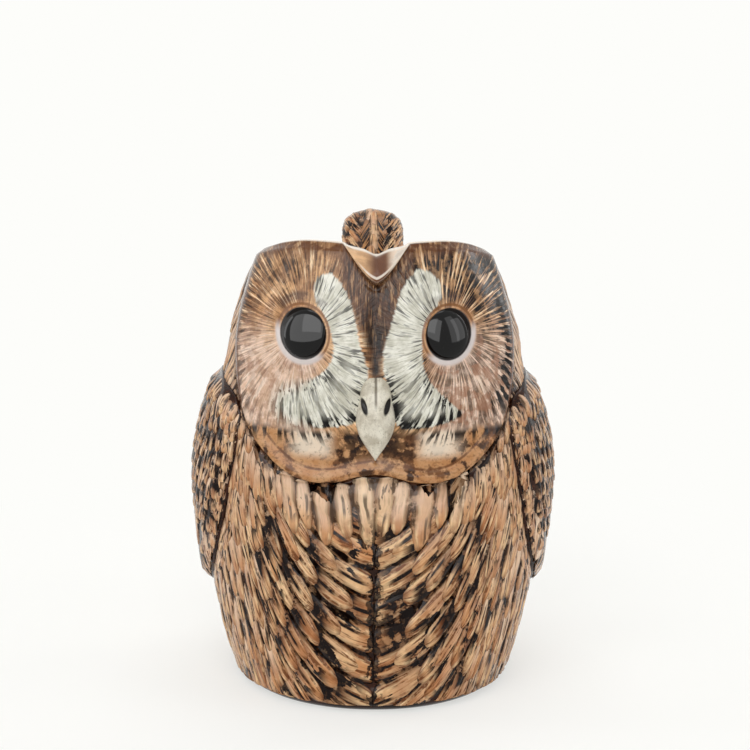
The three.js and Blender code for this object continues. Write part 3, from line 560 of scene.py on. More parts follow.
    # Lids and rings of the eyes, and the band under the rim
    ringWide, ringTall = dx / (face["eyeWidth"] / 2), dz / (face["eyeTall"] / 2)
    ring = calc("SQRT", ringWide * ringWide + ringTall * ringTall)
    browArc = abs(ring - 1.5).ramp(0.24, 0.08) * (dz - abs(dx)).ramp(-0.5, 3.0)
    lid = ring.ramp(1.36, 1.2) * (dx * 0.6 - dz).ramp(0.5, 4.5)
    wash = coated(wash, c,
                  (z.ramp(*p["chinBand"]) * softPad.ramp(0.6, -0.4), chin),
                  (browArc * (patch.ramp(0.0, 0.7, 0.4, 1.0) * rightward(0.65, 0.3)), "browTone"),
                  (abs(ring - 1.19).ramp(0.07, 0.03) * 0.8, "lidRing"),
                  (lid, "lid"),
                  (ring.ramp(1.09, 1.03), "deep"),
                  (belowRim.ramp(5.0, 1.5) * patch.ramp(0.1, 0.7, 0.45, 0.9), "brown"))

    # Ground between the feathers, and the broken dark line of the disc's edge
    bandLine = useGroup(strokes, combine(x + y, z, x), 0.7, 0.2, 0.45)[0]
    bandTone = coated(blend(pool, c["tan"], c["brown"]), c, (bandLine * 0.8, "deep"))
    ground = blend(belowRim.ramp(7.0, 3.0), blend(cloud, c["ground"], c["groundLight"]), bandTone)
    edge = abs(disc - z.ramp(*p["edgeLine"], -0.7, 0.4))

    # Rim, lip, cavity and foot
    inLip = side.ramp(10.0, 7.5) * (y * -1.0).ramp(44.5, 46.0)
    edgeLine = abs(rim - 0.47).ramp(0.05, 0.02)
    # Cream on the right-hand wall of the lip's channel is a painted reflection; the dark trough along its
    # middle is pooled glaze.
    lipPaintAndReflection = coated(blend(abs(x - 1.0).ramp(5.0, 1.0), c["tan"], c["trough"]), c,
                      (x.ramp(2.5, 5.0) * patch.ramp(0.0, 0.6, 0.6, 1.0), "rim"),
                      (patch * 0.35, "brown"),
                      (edgeLine * side.ramp(5.5, 2.5, 0.1, 0.8), "rim"))
    color = coated(blend(disc.ramp(-0.2, 0.3), ground, wash), c,
                   (edge.ramp(0.75, 0.35) * patch.ramp(0.0, 0.7, 0.45, 1.0) * 0.9, "brown"),
                   (rim.ramp(0.30, 0.42), "rim"),
                   (inLip * rim.ramp(0.3, 0.4) * rim.ramp(0.9, 0.75), lipPaintAndReflection),
                   (rim.ramp(0.98, 1.1), "inside"),
                   (rim.ramp(-0.4, -0.6), "foot"))
    finishGlaze(shader, color, 1.0 - (fineMask + longMask) * 0.5)
    return material


# Body
mapFade = {"inside": 2.0, "step": 0.02, "under": (-3.0, -2.0)}  # skin map heights off the outer wall
parked = {"skinMap": (3.0, -4.0), "frontMap": (0.0, -6.0)}  # corners that no feather may land on
frontSpan = 200.0
farAway = 20.0  # millimetres to disc and pads where they play no part


def rimRows(turn):  # rim of each column, from the outer wall over the crest to the inner wall
    v, p = vessel, lip
    crest = rimCrest(turn) - p["crestDrop"]
    topX = np.abs(section(turn, np.full_like(turn, v["height"]))[0])
    inLip = (np.cos(turn) > 0) & (topX < p["halfWidth"])
    share = np.where(inLip, np.cos(math.pi / 2 * np.minimum(topX / p["halfWidth"], 1)), 0)
    half = v["wall"] / 2
    profile = [
        (0, -p["rootDrop"]),
        (p["reach"] * p["rootShares"][0], -p["rootDrop"] * p["rootShares"][1]),
        (p["reach"] - p["thickness"] / 4, -p["droop"] - p["thickness"]),
        (p["reach"], -p["droop"]),
        (p["reach"] * p["troughShares"][0], -p["droop"] * p["troughShares"][1]),
        (-half, 0),
        (-v["wall"], -half),
    ]
    x, y, nx, ny = section(turn, crest)
    rows = []
    for k, (lipOut, lipUp) in enumerate(profile):
        angle = math.pi * k / (len(profile) - 1)
        plainOut, plainUp = half * (math.cos(angle) - 1), half * (math.sin(angle) - 1)
        out = plainOut + (lipOut - plainOut) * share
        z = crest + plainUp + (lipUp - plainUp) * share ** p["droopPower"]
        wallX, wallY, outX, outY = section(turn, z) if k == 0 else (x, y, nx, ny)
        rows.append(np.stack([wallX + outX * out, wallY + outY * out, z], -1))
    padded = np.array([2 * rows[0] - rows[1], *rows, 2 * rows[-1] - rows[-2]])
    smooth = []
    for t in np.linspace(0, len(rows) - 1, p["stations"]):
        k = min(int(t), len(rows) - 2)
        u = t - k
        a, b, c, d = padded[k:k + 4]
        smooth.append(0.5 * (2 * b + (c - a) * u + (2 * a - 5 * b + 4 * c - d) * u**2
                             + (3 * b - a - 3 * c + d) * u**3))
    smooth = np.array(smooth)
    relief = facing(ny) * frontRelief(smooth[0, :, 0], smooth[0, :, 2])
    fade = (1 - softStep(np.linspace(0, 1, len(smooth)) * p["reliefFade"]))[:, None] * relief
    smooth[..., 0] += nx * fade
    smooth[..., 1] += ny * fade
    return smooth


def buildBody():
    v = vessel
    n = v["columns"]
    place = -1 + 2 * np.arange(n) / n
    turn = math.pi * (v["frontDensity"] * place + (1 - v["frontDensity"]) * place**3)
    rim = rimRows(turn)
    low = np.concatenate([np.array([0, 0.05, 0.15, 0.3, 0.5, 0.75]) * v["footRadius"],
                          np.linspace(v["footRadius"], v["bellyHeight"], v["bellyRows"])])
    shares = np.arange(1, v["headRows"] + 1) / (v["headRows"] + 1)
    heights = [np.full(n, z) for z in low]
    heights += [v["bellyHeight"] + (rim[0, :, 2] - v["bellyHeight"]) * share for share in shares]
    rows = [skin(turn, z) for z in heights]
    outerCount = len(rows)
    rows += list(rim)
    floorStart = v["floor"] + v["floorRadius"]

    def innerRow(z):
        x, y, nx, ny = section(turn, z)
        left = np.clip(floorStart - np.maximum(z, v["floor"]), 0, v["floorRadius"])
        inset = v["wall"] + v["floorRadius"] - np.sqrt(v["floorRadius"] ** 2 - left**2)
        return np.stack([x - nx * inset, y - ny * inset, z], -1)

    top = rim[-1, :, 2]
    insideShares = np.arange(1, v["insideRows"] + 1) / v["insideRows"]
    rows += [innerRow(top + (floorStart - top) * share) for share in insideShares]
    for k in range(v["floorRows"]):
        z = floorStart - v["floorRadius"] * math.sin(math.pi / 2 * (k + 1) / v["floorRows"])
        rows.append(innerRow(np.full(n, z)))
    foot = rows[0] * (1, 1, 0)
    size = np.linalg.norm(foot, axis=1)[:, None]
    recess = foot * (1 - (v["footRing"] + v["footRecess"]) / size) + (0, 0, v["footRecess"])
    grid = np.array([recess, foot * (1 - v["footRing"] / size)] + rows)
    count, last = len(grid), 2 + outerCount
    marks = np.concatenate([[-1.0, -0.8], np.zeros(outerCount), np.linspace(0, 1, len(rim)),
                            1 + insideShares, np.full(v["floorRows"], 2.0)])
    points = np.vstack([grid.reshape(-1, 3), [[0, 0, v["footRecess"]], [0, 0, v["floor"]]]])

    # Skin map: turn and height on the outer wall. Front map: the same wall as seen from in front.
    rise = np.repeat(mapFade["inside"] + (np.arange(count) - outerCount)[:, None] * mapFade["step"], n, 1)
    rise[:2] = np.array(mapFade["under"])[:, None]
    rise[2:last] = np.array(heights) / v["height"]
    u = np.append(turn / (2 * math.pi) + 0.5, 1.0)
    ends = np.ones((n * 6, 1))
    skinMap, frontMap = [], []
    behind = (np.cos(turn) < 0.2) | (np.cos(np.roll(turn, -1)) < 0.2)
    for i in range(count - 1):
        a, b, nextA, nextB = rise[i], rise[i + 1], np.roll(rise[i], -1), np.roll(rise[i + 1], -1)
        skinMap.append(np.stack([u[:-1], a, u[1:], nextA, u[1:], nextB, u[:-1], b], -1).reshape(-1, 2))
        a, b, nextA, nextB = grid[i], grid[i + 1], np.roll(grid[i], -1, 0), np.roll(grid[i + 1], -1, 0)
        flat = np.stack([a, nextA, nextB, b], 1)[..., [0, 2]] / (frontSpan, v["height"]) + (0.5, 0.0)
        flat[behind if 2 <= i < last - 1 else slice(None)] = parked["frontMap"]
        frontMap.append(flat.reshape(-1, 2))
    shown = np.repeat(marks >= 0, n) & (np.cos(np.tile(turn, count)) > 0)
    x, z = grid[..., 0].ravel(), grid[..., 2].ravel()
    normals = np.zeros((len(points), 3))
    normals[2 * n:last * n] = skinNormal(turn, np.array(heights)).reshape(-1, 3)

    def distance(loops):
        found = np.max([signedDistance(loop, x, z) for loop in loops], axis=0)
        return np.append(np.where(shown, np.clip(found, -farAway, farAway), -farAway), [-farAway] * 2)

    return makeMesh("bodySkin", toFrame(points), tubeFaces(count, n), {
        "skinMap": np.vstack(skinMap + [ends * parked["skinMap"]]),
        "frontMap": np.vstack(frontMap + [ends * parked["frontMap"]]),
    }, {
        "disc": distance([discLoop]), "pad": distance(padLoops), "skinNormal": normals,
        "rim": np.append(np.repeat(marks, n), [-1.0, 2.0]),
        "belowRim": np.append(np.tile(rimCrest(turn), count) - z, [99.0, 99.0]),
    })


body = buildBody()
placePiece(body, bodyGlaze(), "body", "body")


# Eyes
def turnAt(x, z):
    share = z / vessel["height"]
    halfWidth = float(readTable(vesselShares, share, 1)) * vessel["halfWidth"]
    power = float(readTable(squarenessShares, share, 1))
    return math.copysign(math.asin(min(abs(x) / halfWidth, 1.0) ** (power / 2)), x)


def buildEye(name, side, rings=20, sides=64):
    f = face
    turn = turnAt(side * f["eyeSpacing"] / 2, f["eyeHeight"])
    outward = Vector(skinNormal(turn, f["eyeHeight"]))
    up = (Vector((0, 0, 1)) - outward * outward.z).normalized()
    up = Matrix.Rotation(math.radians(f["eyeTilt"]) * side, 3, outward) @ up
    angles = 2 * math.pi * np.arange(sides) / sides
    lean = np.append(0, math.pi / 2 * np.arange(rings) / rings)[:, None]
    wide, tall = f["eyeWidth"] / 2 - fit, f["eyeTall"] / 2 - fit
    rise = f["eyeDome"] * np.sin(lean) + 0 * angles
    rise[0] = -f["eyeSkirt"]
    rows = np.stack([np.cos(lean) * wide * np.cos(angles), np.cos(lean) * tall * np.sin(angles), rise], -1)
    local = np.vstack([rows.reshape(-1, 3), [[0, 0, -f["eyeSkirt"]], [0, 0, f["eyeDome"] - fit]]])
    points = local @ np.array([up.cross(outward), up, outward]) + skin(turn, f["eyeHeight"])
    return makeMesh(name, toFrame(points), tubeFaces(rings + 1, sides), None,
                    {"facing": np.tile(outward, (len(local), 1))})


def eyeGlaze():
    material, tree, shader = newMaterial("eyeGlaze", tone(12, 12, 15))
    outward = addNode("ShaderNodeVectorTransform", {0: attribute(tree, "facing", "Vector")},
                      vector_type="NORMAL", convert_from="OBJECT", convert_to="WORLD")
    normal = addNode("ShaderNodeNewGeometry", {}, tree, "Normal")
    bowed = vectorCalc("NORMALIZE", vectorCalc("ADD", normal, vectorCalc("SCALE", outward, 0.7)))
    for key, value in (("Base Color", tone(5, 4, 5)), ("Roughness", 0.06), ("Specular IOR Level", 0.24),
                       ("Coat Weight", 0.0), ("Normal", bowed)):
        connect(value, shader[key])
    return material


eyeMaterial = eyeGlaze()
for eyeName, eyeSide in (("left_eye", 1), ("right_eye", -1)):
    placePiece(buildEye(eyeName + "_dome", eyeSide), eyeMaterial, "eye", eyeName)

# Beak
beak = {
    "halfWidth": 5.5, "top": 98.39, "tip": 77.6, "rise": 7.2, "hook": 1.6, "seat": 4.0,
    "nostrilAt": (3.2, 91.2), "nostrilSize": (0.85, 2.3), "nostrilLean": 16.0, "nostrilDepth": 0.9,
    "ridgeGroove": 0.25, "ridgeSpread": 0.5, "ridgeLow": 92.0, "ridgeHigh": 97.5,
    "rows": 72, "sides": 72,
}
beakShares = [
    (0.00, 0.30, 0.10), (0.05, 0.56, 0.42), (0.15, 0.74, 0.66), (0.32, 0.84, 0.84), (0.48, 0.97, 0.98),
    (0.60, 1.00, 1.00), (0.74, 0.86, 0.94), (0.87, 0.56, 0.76), (0.95, 0.30, 0.58), (1.00, 0.10, 0.42),
]


def nostril(x, z):  # distance from the nostril's middle, 1 at its edge
    b = beak
    lean = math.radians(b["nostrilLean"])
    dx, dz = np.abs(x) - b["nostrilAt"][0], z - b["nostrilAt"][1]
    across = dx * math.cos(lean) - dz * math.sin(lean)
    along = dx * math.sin(lean) + dz * math.cos(lean)
    return np.hypot(across / b["nostrilSize"][0], along / b["nostrilSize"][1])


def buildBeak():
    b = beak
    share = np.linspace(1, 0, b["rows"] + 1)[:, None]
    height = b["top"] + (b["tip"] - b["top"]) * share
    base = skin(0.0, height)[..., 1]
    angles = 2 * math.pi * np.arange(b["sides"]) / b["sides"]
    cosine = np.cos(angles)
    halfWidth = b["halfWidth"] * readTable(beakShares, share, 1) - fit
    rise = b["rise"] * readTable(beakShares, share, 2) - fit
    x = halfWidth * np.sin(angles)
    z = height - b["hook"] * share**2 * np.maximum(cosine, 0)
    pit = b["nostrilDepth"] * softStep((1.15 - nostril(x, z)) / 0.5)
    groove = b["ridgeGroove"] * bell(x, b["ridgeSpread"]) * softStep((z - b["ridgeLow"]) / 3)
    groove *= softStep((b["ridgeHigh"] - z) / 2)
    y = base - np.where(cosine > 0, rise, b["seat"]) * cosine + (pit + groove) * (cosine > 0)
    grid = np.stack([x, y, z], -1)
    points = np.vstack([grid.reshape(-1, 3), grid[0].mean(0), grid[-1].mean(0)])
    return makeMesh("beak_glazed", toFrame(points), tubeFaces(b["rows"] + 1, b["sides"]), None,
                    {"nostril": np.clip(nostril(points[:, 0], points[:, 2]), 0, 5)})


def beakGlaze():
    material, tree, shader = newMaterial("beakGlaze", tone(214, 206, 188))
    place = placeIn(tree)
    x, z = split(place)[::2]
    cloud, speck = useGroup(mottle, place, 0.3)
    line = useGroup(strokes, place, 1.6, 0.12, 0.25)[0]
    crease = abs(x).ramp(0.55, 0.15) * z.ramp(90.0, 93.0)
    color = coated(blend(cloud, tone(226, 220, 203), tone(188, 179, 160)), {},
                   (line * 0.35, tone(120, 108, 90)), (speck * 0.25, tone(110, 96, 76)),
                   (crease * 0.8, tone(88, 76, 58)),
                   (attribute(tree, "nostril").ramp(1.15, 0.8), tone(14, 9, 6)))
    finishGlaze(shader, color, cloud, 0.15, (0.12, 0.22))
    return material


placePiece(buildBeak(), beakGlaze(), "beak", "beak")

# Wings and tail: low reliefs laid on the skin, then covered with feathers
wing = {
    "top": 93.0, "bottom": 14.6, "thickness": 2.95, "edgeThickness": 0.9, "edgeFade": 7.0, "sink": 0.8,
    "rows": 90, "columns": 60,
}
wingShares = [
    (0.00, 0.440, 0.490), (0.04, 0.345, 0.570), (0.10, 0.295, 0.655), (0.22, 0.278, 0.745),
    (0.37, 0.290, 0.812), (0.55, 0.330, 0.850), (0.70, 0.392, 0.868), (0.83, 0.480, 0.874),
    (0.93, 0.620, 0.868), (1.00, 0.745, 0.825),
]
tail = {
    "top": 40.0, "bottom": 4.9, "halfWidth": 13.4, "thickness": 2.5, "edgeThickness": 0.8, "sink": 0.8,
    "feathers": 5, "scallop": 2.4, "groove": 0.7, "rows": 40, "columns": 80,
}
tailShares = [(0.00, 0.50), (0.25, 0.66), (0.60, 0.86), (0.90, 1.00), (1.00, 0.96)]


def wingEdges(height):
    down = np.clip((wing["top"] - height) / (wing["top"] - wing["bottom"]), 0, 1)
    return readTable(wingShares, down, 1) * math.pi, readTable(wingShares, down, 2) * math.pi


def reliefSheet(name, turns, heights, lifts, sink, middle=0.0):  # closed sheet that follows the skin
    rows, columns = turns.shape
    total = rows * columns
    normals, base = skinNormal(turns, heights), skin(turns, heights)
    faces = gridFaces(rows, columns, False)
    faces += [[total + k for k in f[::-1]] for f in faces]
    index = np.arange(total).reshape(rows, columns)
    loop = np.concatenate([index[0], index[1:, -1], index[-1, -2::-1], index[-2:0:-1, 0]]).tolist()
    faces += [[a, total + a, total + b, b] for a, b in zip(loop, loop[1:] + loop[:1])]
    place = np.stack([(turns - middle) / (2 * math.pi) + 0.5, heights / vessel["height"]], -1).reshape(-1, 2)
    uvs = [place[k] if max(f) < total else parked["skinMap"] for f in faces for k in f]
    points = np.concatenate([base + normals * lifts[..., None], base - normals * sink]).reshape(-1, 3)
    return makeMesh(name, toFrame(points), faces, {"skinMap": uvs},
                    {"skinNormal": np.tile(normals.reshape(-1, 3), (2, 1))})


def buildWing(name, side):
    w = wing
    down = np.linspace(1, 0, w["rows"])[:, None]
    across = np.linspace(0, 1, w["columns"])[None, ::side]
    height = w["top"] + (w["bottom"] - w["top"]) * down + 0 * across
    lead, trail = wingEdges(height)
    fromSide = np.minimum(across, 1 - across) * (trail - lead) * vessel["halfWidth"]
    fromEnd = np.minimum(down, 1 - down) * (w["top"] - w["bottom"])
    swell = softStep(np.minimum(fromSide, fromEnd) / w["edgeFade"])
    lifts = w["edgeThickness"] + (w["thickness"] - w["edgeThickness"]) * swell
    return reliefSheet(name, side * (lead + (trail - lead) * across), height, lifts, w["sink"])


def buildTail():
    t = tail
    down = np.linspace(1, 0, t["rows"])[:, None]
    across = np.linspace(-1, 1, t["columns"])[None, :]
    valley = 1 - np.abs(np.cos(math.pi / 2 * t["feathers"] * across))
    height = t["top"] + (t["bottom"] + t["scallop"] * valley * down**4 - t["top"]) * down
    turns = math.pi + across * t["halfWidth"] * readTable(tailShares, down, 1) / vessel["backReach"]
    swell = softStep((1 - np.abs(across)) * 3) * softStep(down * 4)
    lifts = t["edgeThickness"] + (t["thickness"] - t["edgeThickness"] - t["groove"] * valley) * swell
    return reliefSheet("tail_fan", turns, height, lifts, t["sink"], math.pi)


wingSkins = {1: buildWing("left_wing_skin", 1), -1: buildWing("right_wing_skin", -1)}
tailSkin = buildTail()

# Feathers
feathers = {
    "seed": 41,
    "hem": 2.6,
    "breast": {"along": 11.0, "long": 22.0, "wide": 13.6, "thick": 0.7, "reach": 61.0},
    "bib": {"count": 5, "spacing": 5.5, "long": (15.5, 19.0), "wide": 8.2, "thick": 1.3, "proud": 2.0},
    "flank": {
        "across": 4.4, "down": 8.0, "long": 20.0, "wide": 6.8, "thick": 0.7, "pale": 0.85, "dark": 0.4,
    },
    "ruff": {
        "across": 4.2, "down": 10.0, "long": 23.0, "wide": 6.0, "thick": 0.75, "pale": 0.85, "dark": 0.4,
    },
    "nape": {
        "across": 4.4, "down": 6.4, "long": 14.0, "wide": 6.2, "thick": 0.75, "pale": 0.45, "dark": 0.5,
    },
    # Coverts and primaries take the full pale coat: partly the feathers' cream, partly painted highlight.
    "covert": {
        "across": 3.5, "down": 4.4, "long": 10.0, "wide": 5.0, "thick": 0.8, "pale": 1.0, "dark": 0.9,
    },
    "primary": {
        "across": 4.4, "down": 9.0, "long": 26.0, "wide": 6.8, "thick": 0.85, "pale": 1.0, "dark": 0.75,
    },
}
rng = np.random.default_rng(feathers["seed"])
radius = vessel["halfWidth"]
halfRound = math.pi * radius


def vary(spread):
    return rng.normal(1, spread)


def buildPetal(name, rows, columns, blunt, roundness=0.5, start=(-0.4, 0.1)):  # one feather, root up
    along = np.linspace(0, 1, rows + 1)
    rise = np.interp(along, [0, 0.2, 0.5, 0.75, 0.92, 1], [*start, 0.7, 1.0, 0.85, -0.25])
    width = np.sin(math.pi * along**blunt) ** roundness
    a, c = along[1:-1, None], np.linspace(-1, 1, columns + 1)[None, :]
    shaft = 0.22 * bell(c, 0.16) * bell(a - 0.55, 0.32) + 0.08 * bell(np.abs(c) - 0.55, 0.12)
    dome = (1 - np.abs(c) ** 2.2) * (rise[1:-1, None] + 0.3) - 0.3 - shaft
    inner = np.stack([c * width[1:-1, None] / 2, 0 * c - a, dome], -1).reshape(-1, 3)
    maps = np.stack([(c + 1) / 2 + 0 * a, a + 0 * c], -1).reshape(-1, 2)
    maps = np.vstack([maps, (0.5, 0.0), (0.5, 1.0)])
    faces = [f[::-1] if f[1] < f[0] else f[:1] + f[:0:-1] for f in tubeFaces(rows - 1, columns + 1)]
    petal = makeMesh(name, np.vstack([inner, (0, 0, rise[0]), (0, -1, rise[-1])]), faces,
                     {"petalMap": [maps[k] for f in faces for k in f]})
    petal.hide_render = petal.hide_viewport = True
    return petal


def feather(s, z, aim, long, wide, thick, pale, dark, side=0.0):  # place and size on the unrolled skin
    return s, z, aim, long, wide, thick, rng.random(), pale, dark, side


def lattice(kind, lowS, highS, lowZ, highZ, keep, aim):  # staggered places, where keep says so
    k = feathers[kind]
    spots = []
    for i in range(int((highZ - lowZ) / k["down"]) + 1):
        for j in range(int((highS - lowS) / k["across"]) + 1):
            s = lowS + (j + 0.5 * (i % 2)) * k["across"]
            s += rng.normal(0, 0.10) * k["across"]
            z = lowZ + i * k["down"] + rng.normal(0, 0.12) * k["down"]
            if keep(s, z):
                spots.append(feather(s, z, aim(s, z) + rng.normal(0, 0.07), k["long"] * vary(0.09),
                                     k["wide"] * vary(0.07), k["thick"] * vary(0.12), k["pale"], k["dark"]))
    print(kind, len(spots))
    return spots


def outsideDisc(s, z, gap):
    if abs(s / radius) > math.pi / 2:
        return True
    x = section(np.array(s / radius), np.array(float(z)))[0]
    return float(signedDistance(discLoop, x, z)) < gap


def outsideWing(s, z, gap):
    if not wing["bottom"] - 3 < z < wing["top"]:
        return True
    lead, trail = wingEdges(z)
    return abs(s / radius) < lead + gap / radius or abs(s / radius) > trail - gap / radius


def breastCoat():  # lines of feathers that climb outwards, in the front view with the climb taken out
    k = feathers["breast"]
    xs = np.linspace(0, 42, 421)
    slope = np.gradient(climb(xs), xs)
    ways = np.concatenate([[0], np.cumsum(np.hypot(1, (slope[1:] + slope[:-1]) / 2) * np.diff(xs))])
    spots = []
    for side in (-1, 1):
        for i in range(-9, 9):
            u = (i + 0.5 + rng.normal(0, 0.05)) * face["featherSpacing"]
            for j in range(-1, 6):
                tip = max((j + 0.5 * (i % 2) + rng.normal(0, 0.14)) * k["along"], rng.uniform(-5.5, -3.5))
                root = max(tip + k["long"] * vary(0.06), 12.5)
                if j < 0 and i % 2 == 0 or tip > k["reach"]:
                    continue
                if tip < 3 and i % 2 == 0:
                    tip -= 3.6
                near, far = np.interp([tip, root], ways, xs)
                near = min(near, tip)
                low, high = u + climb(near), u + climb(far)
                if high < 9 or low < -10 or low > 62 or not outsideDisc(side * far, high, 0.8):
                    continue
                # Breast feathers lower down get stronger dark marks.
                darkerLow = 0.75 + 0.25 * float(softStep((44 - low) / 30))
                spots.append(feather(side * far, u, -side * math.pi / 2 + rng.normal(0, 0.03), far - near,
                                     k["wide"] * vary(0.05), k["thick"] * vary(0.1),
                                     0.15 + 0.4 * max(near, 0) / 34, darkerLow, side))
    print("breast", len(spots))
    return spots


def coverAim(s, z):  # lean of a wing's feather, between those of the wing's two edges
    above, below = np.array(wingEdges(z + 2)), np.array(wingEdges(z - 2))
    across = np.clip((abs(s / radius) - above[0]) / (above[1] - above[0]), 0, 1)
    slope = float((below - above) @ (1 - across, across)) * radius / 4
    return math.atan(float(np.clip(slope, -0.6, 1.4))) * 0.8 * np.sign(s)


def rimHeight(s):
    return float(rimCrest(s / radius))


def bibCoat():
    k = feathers["bib"]
    spots = []
    for j in [j for j in range(-k["count"], k["count"] + 1) if j]:
        loose = abs(j) > 1
        s = (abs(j) * k["spacing"] - 2.8) * np.sign(j) + rng.normal(0, 0.5) * loose
        z = 62.0
        while outsideDisc(s, z, -0.6):
            z += 0.25
        lean = -0.06 * np.sign(j) * (1 if abs(j) < 3 else 0.4) - 0.007 * s
        long = k["long"][j % 2] * vary(0.10)
        thick = k["proud" if abs(j) == 3 else "thick"]
        spots.append((s, z + 0.6 + rng.normal(0, 0.2) * loose, lean, long, k["wide"] * vary(0.08), thick,
                      rng.random(), rng.uniform(0.55, 1.0), 0.14, 0.0))
    return spots


def plumage():  # body: round the disc, under the rim, before the wings, then flank, ruff and nape
    spots = []
    for x, z in discLoop:
        if 63 < z < 129 and abs(x) > 24:
            s = turnAt(x, z) * radius + np.sign(x) * rng.uniform(0.3, 1.6)
            lean = float(np.interp(z, [74, 90, 110], [-0.16, 0.05, 0.25])) * np.sign(x)
            spots.append(feather(s, z, lean, 15.0 * vary(0.12), 5.6, 0.8, 0.7, 0.35))
    for s in np.arange(-halfRound, halfRound - 2, 3.9):
        s += rng.normal(0, 0.5)
        z = rimHeight(s) - 2.0 - abs(rng.normal(0, 0.7))
        if outsideDisc(s, z, 0.3):
            spots.append(feather(s, z, rng.normal(0, 0.08), 13.0 * vary(0.18), 6.0, 0.7, 0.6, 0.3))
    for side in (-1, 1):
        for k, z in enumerate(np.arange(99, 22, -2.6)):
            s = side * (float(wingEdges(z)[0]) * radius - (0.6 if k % 2 else 3.4))
            if outsideDisc(s, z, 0.6):
                aim = coverAim(s, z) + rng.normal(0, 0.04)
                spots.append(feather(s, z, aim, 12.0 * vary(0.1), 5.2, 0.8, 0.75, 0.45))

    def flank(s, z):
        clear = outsideWing(s, z, 4) or outsideWing(s, z - 11, 0)
        return abs(s) >= 37 and clear and z < 92 and (abs(s) > 80 or (z < 84 and outsideDisc(s, z, 2.0)))

    def ruff(s, z):
        high = 70 < z < rimHeight(s) - 4.5 and 36 < abs(s) < 96
        return high and outsideDisc(s, z, 0.7) and outsideWing(s, z, 3)

    def nape(s, z):
        return abs(s) >= 90 and 90 < z < rimHeight(s) - 4.5

    spots += lattice("flank", -halfRound, halfRound - 2, 8, 92, flank, lambda s, z: -0.14 * np.sign(s))
    spots += lattice("ruff", -96, 96, 72, 132, ruff, lambda s, z: 0.10 * np.sign(s) * (z > 96))
    return spots + lattice("nape", -halfRound, halfRound - 2, 91, 132, nape, lambda s, z: 0.0)


def wingCoat(side):
    def inside(s, z):
        return s * side > 0 and not outsideWing(s, z, -0.6)

    def covert(s, z):
        return inside(s, z) and z > 52 + 6 * math.sin(s * 0.6)

    def primary(s, z):
        return inside(s, z) and z <= 60

    low, high = (40, 146) if side > 0 else (-146, -40)
    spots = lattice("covert", low, high, 46, 92.6, covert, coverAim)
    spots += lattice("primary", low, high, 24, 62, primary, coverAim)
    lead, trail = wingEdges(wing["top"] - 0.5)
    for s in np.arange(float(lead) * radius + 1, float(trail) * radius - 1, 2.9):
        spots.append(feather(side * (s + rng.normal(0, 0.3)), wing["top"] - 0.35, coverAim(side * s, 90.0),
                             9.0, 4.8, 0.8, 0.4, 0.6))
    for k, z in enumerate(np.arange(92.4, 78, -0.8)):
        s = float(wingEdges(z)[0]) * radius + (0.4, 2.0, 3.8)[k % 3]
        spots.append(feather(side * s, z, coverAim(side * s, z), 6.5, 4.0, 0.8, 0.7, 0.1))
    for k, z in enumerate(np.arange(91.5, 18, -2.6)):
        inset = 0.9 if k % 2 else 3.2
        for edge, way, pale, dark in zip(wingEdges(z), (1, -1), (0.7, 0.3), (0.5, 0.7)):
            s = side * float(edge) * radius
            spots.append(feather(s + side * way * inset, z, coverAim(s, z), 9.5, 4.8, 0.7, pale, dark))
    return spots


def tailCoat():
    stretch = radius / vessel["backReach"]
    spots = [feather(a * 9.5 * stretch, 37.0, a * 0.13, 31.0, 6.6, 0.9, 0.5, 0.55)
             for a in (-0.78, -0.39, 0.0, 0.39, 0.78)]
    for row, z in enumerate((40.0, 36.5, 33.0)):
        for j in range(-2, 3 - row % 2):
            s = (j + 0.5 * (row % 2)) * 3.6 * stretch
            spots.append(feather(s, z, 0.05 * j, 9.0, 4.8, 0.7, 0.5, 0.6))
    return spots


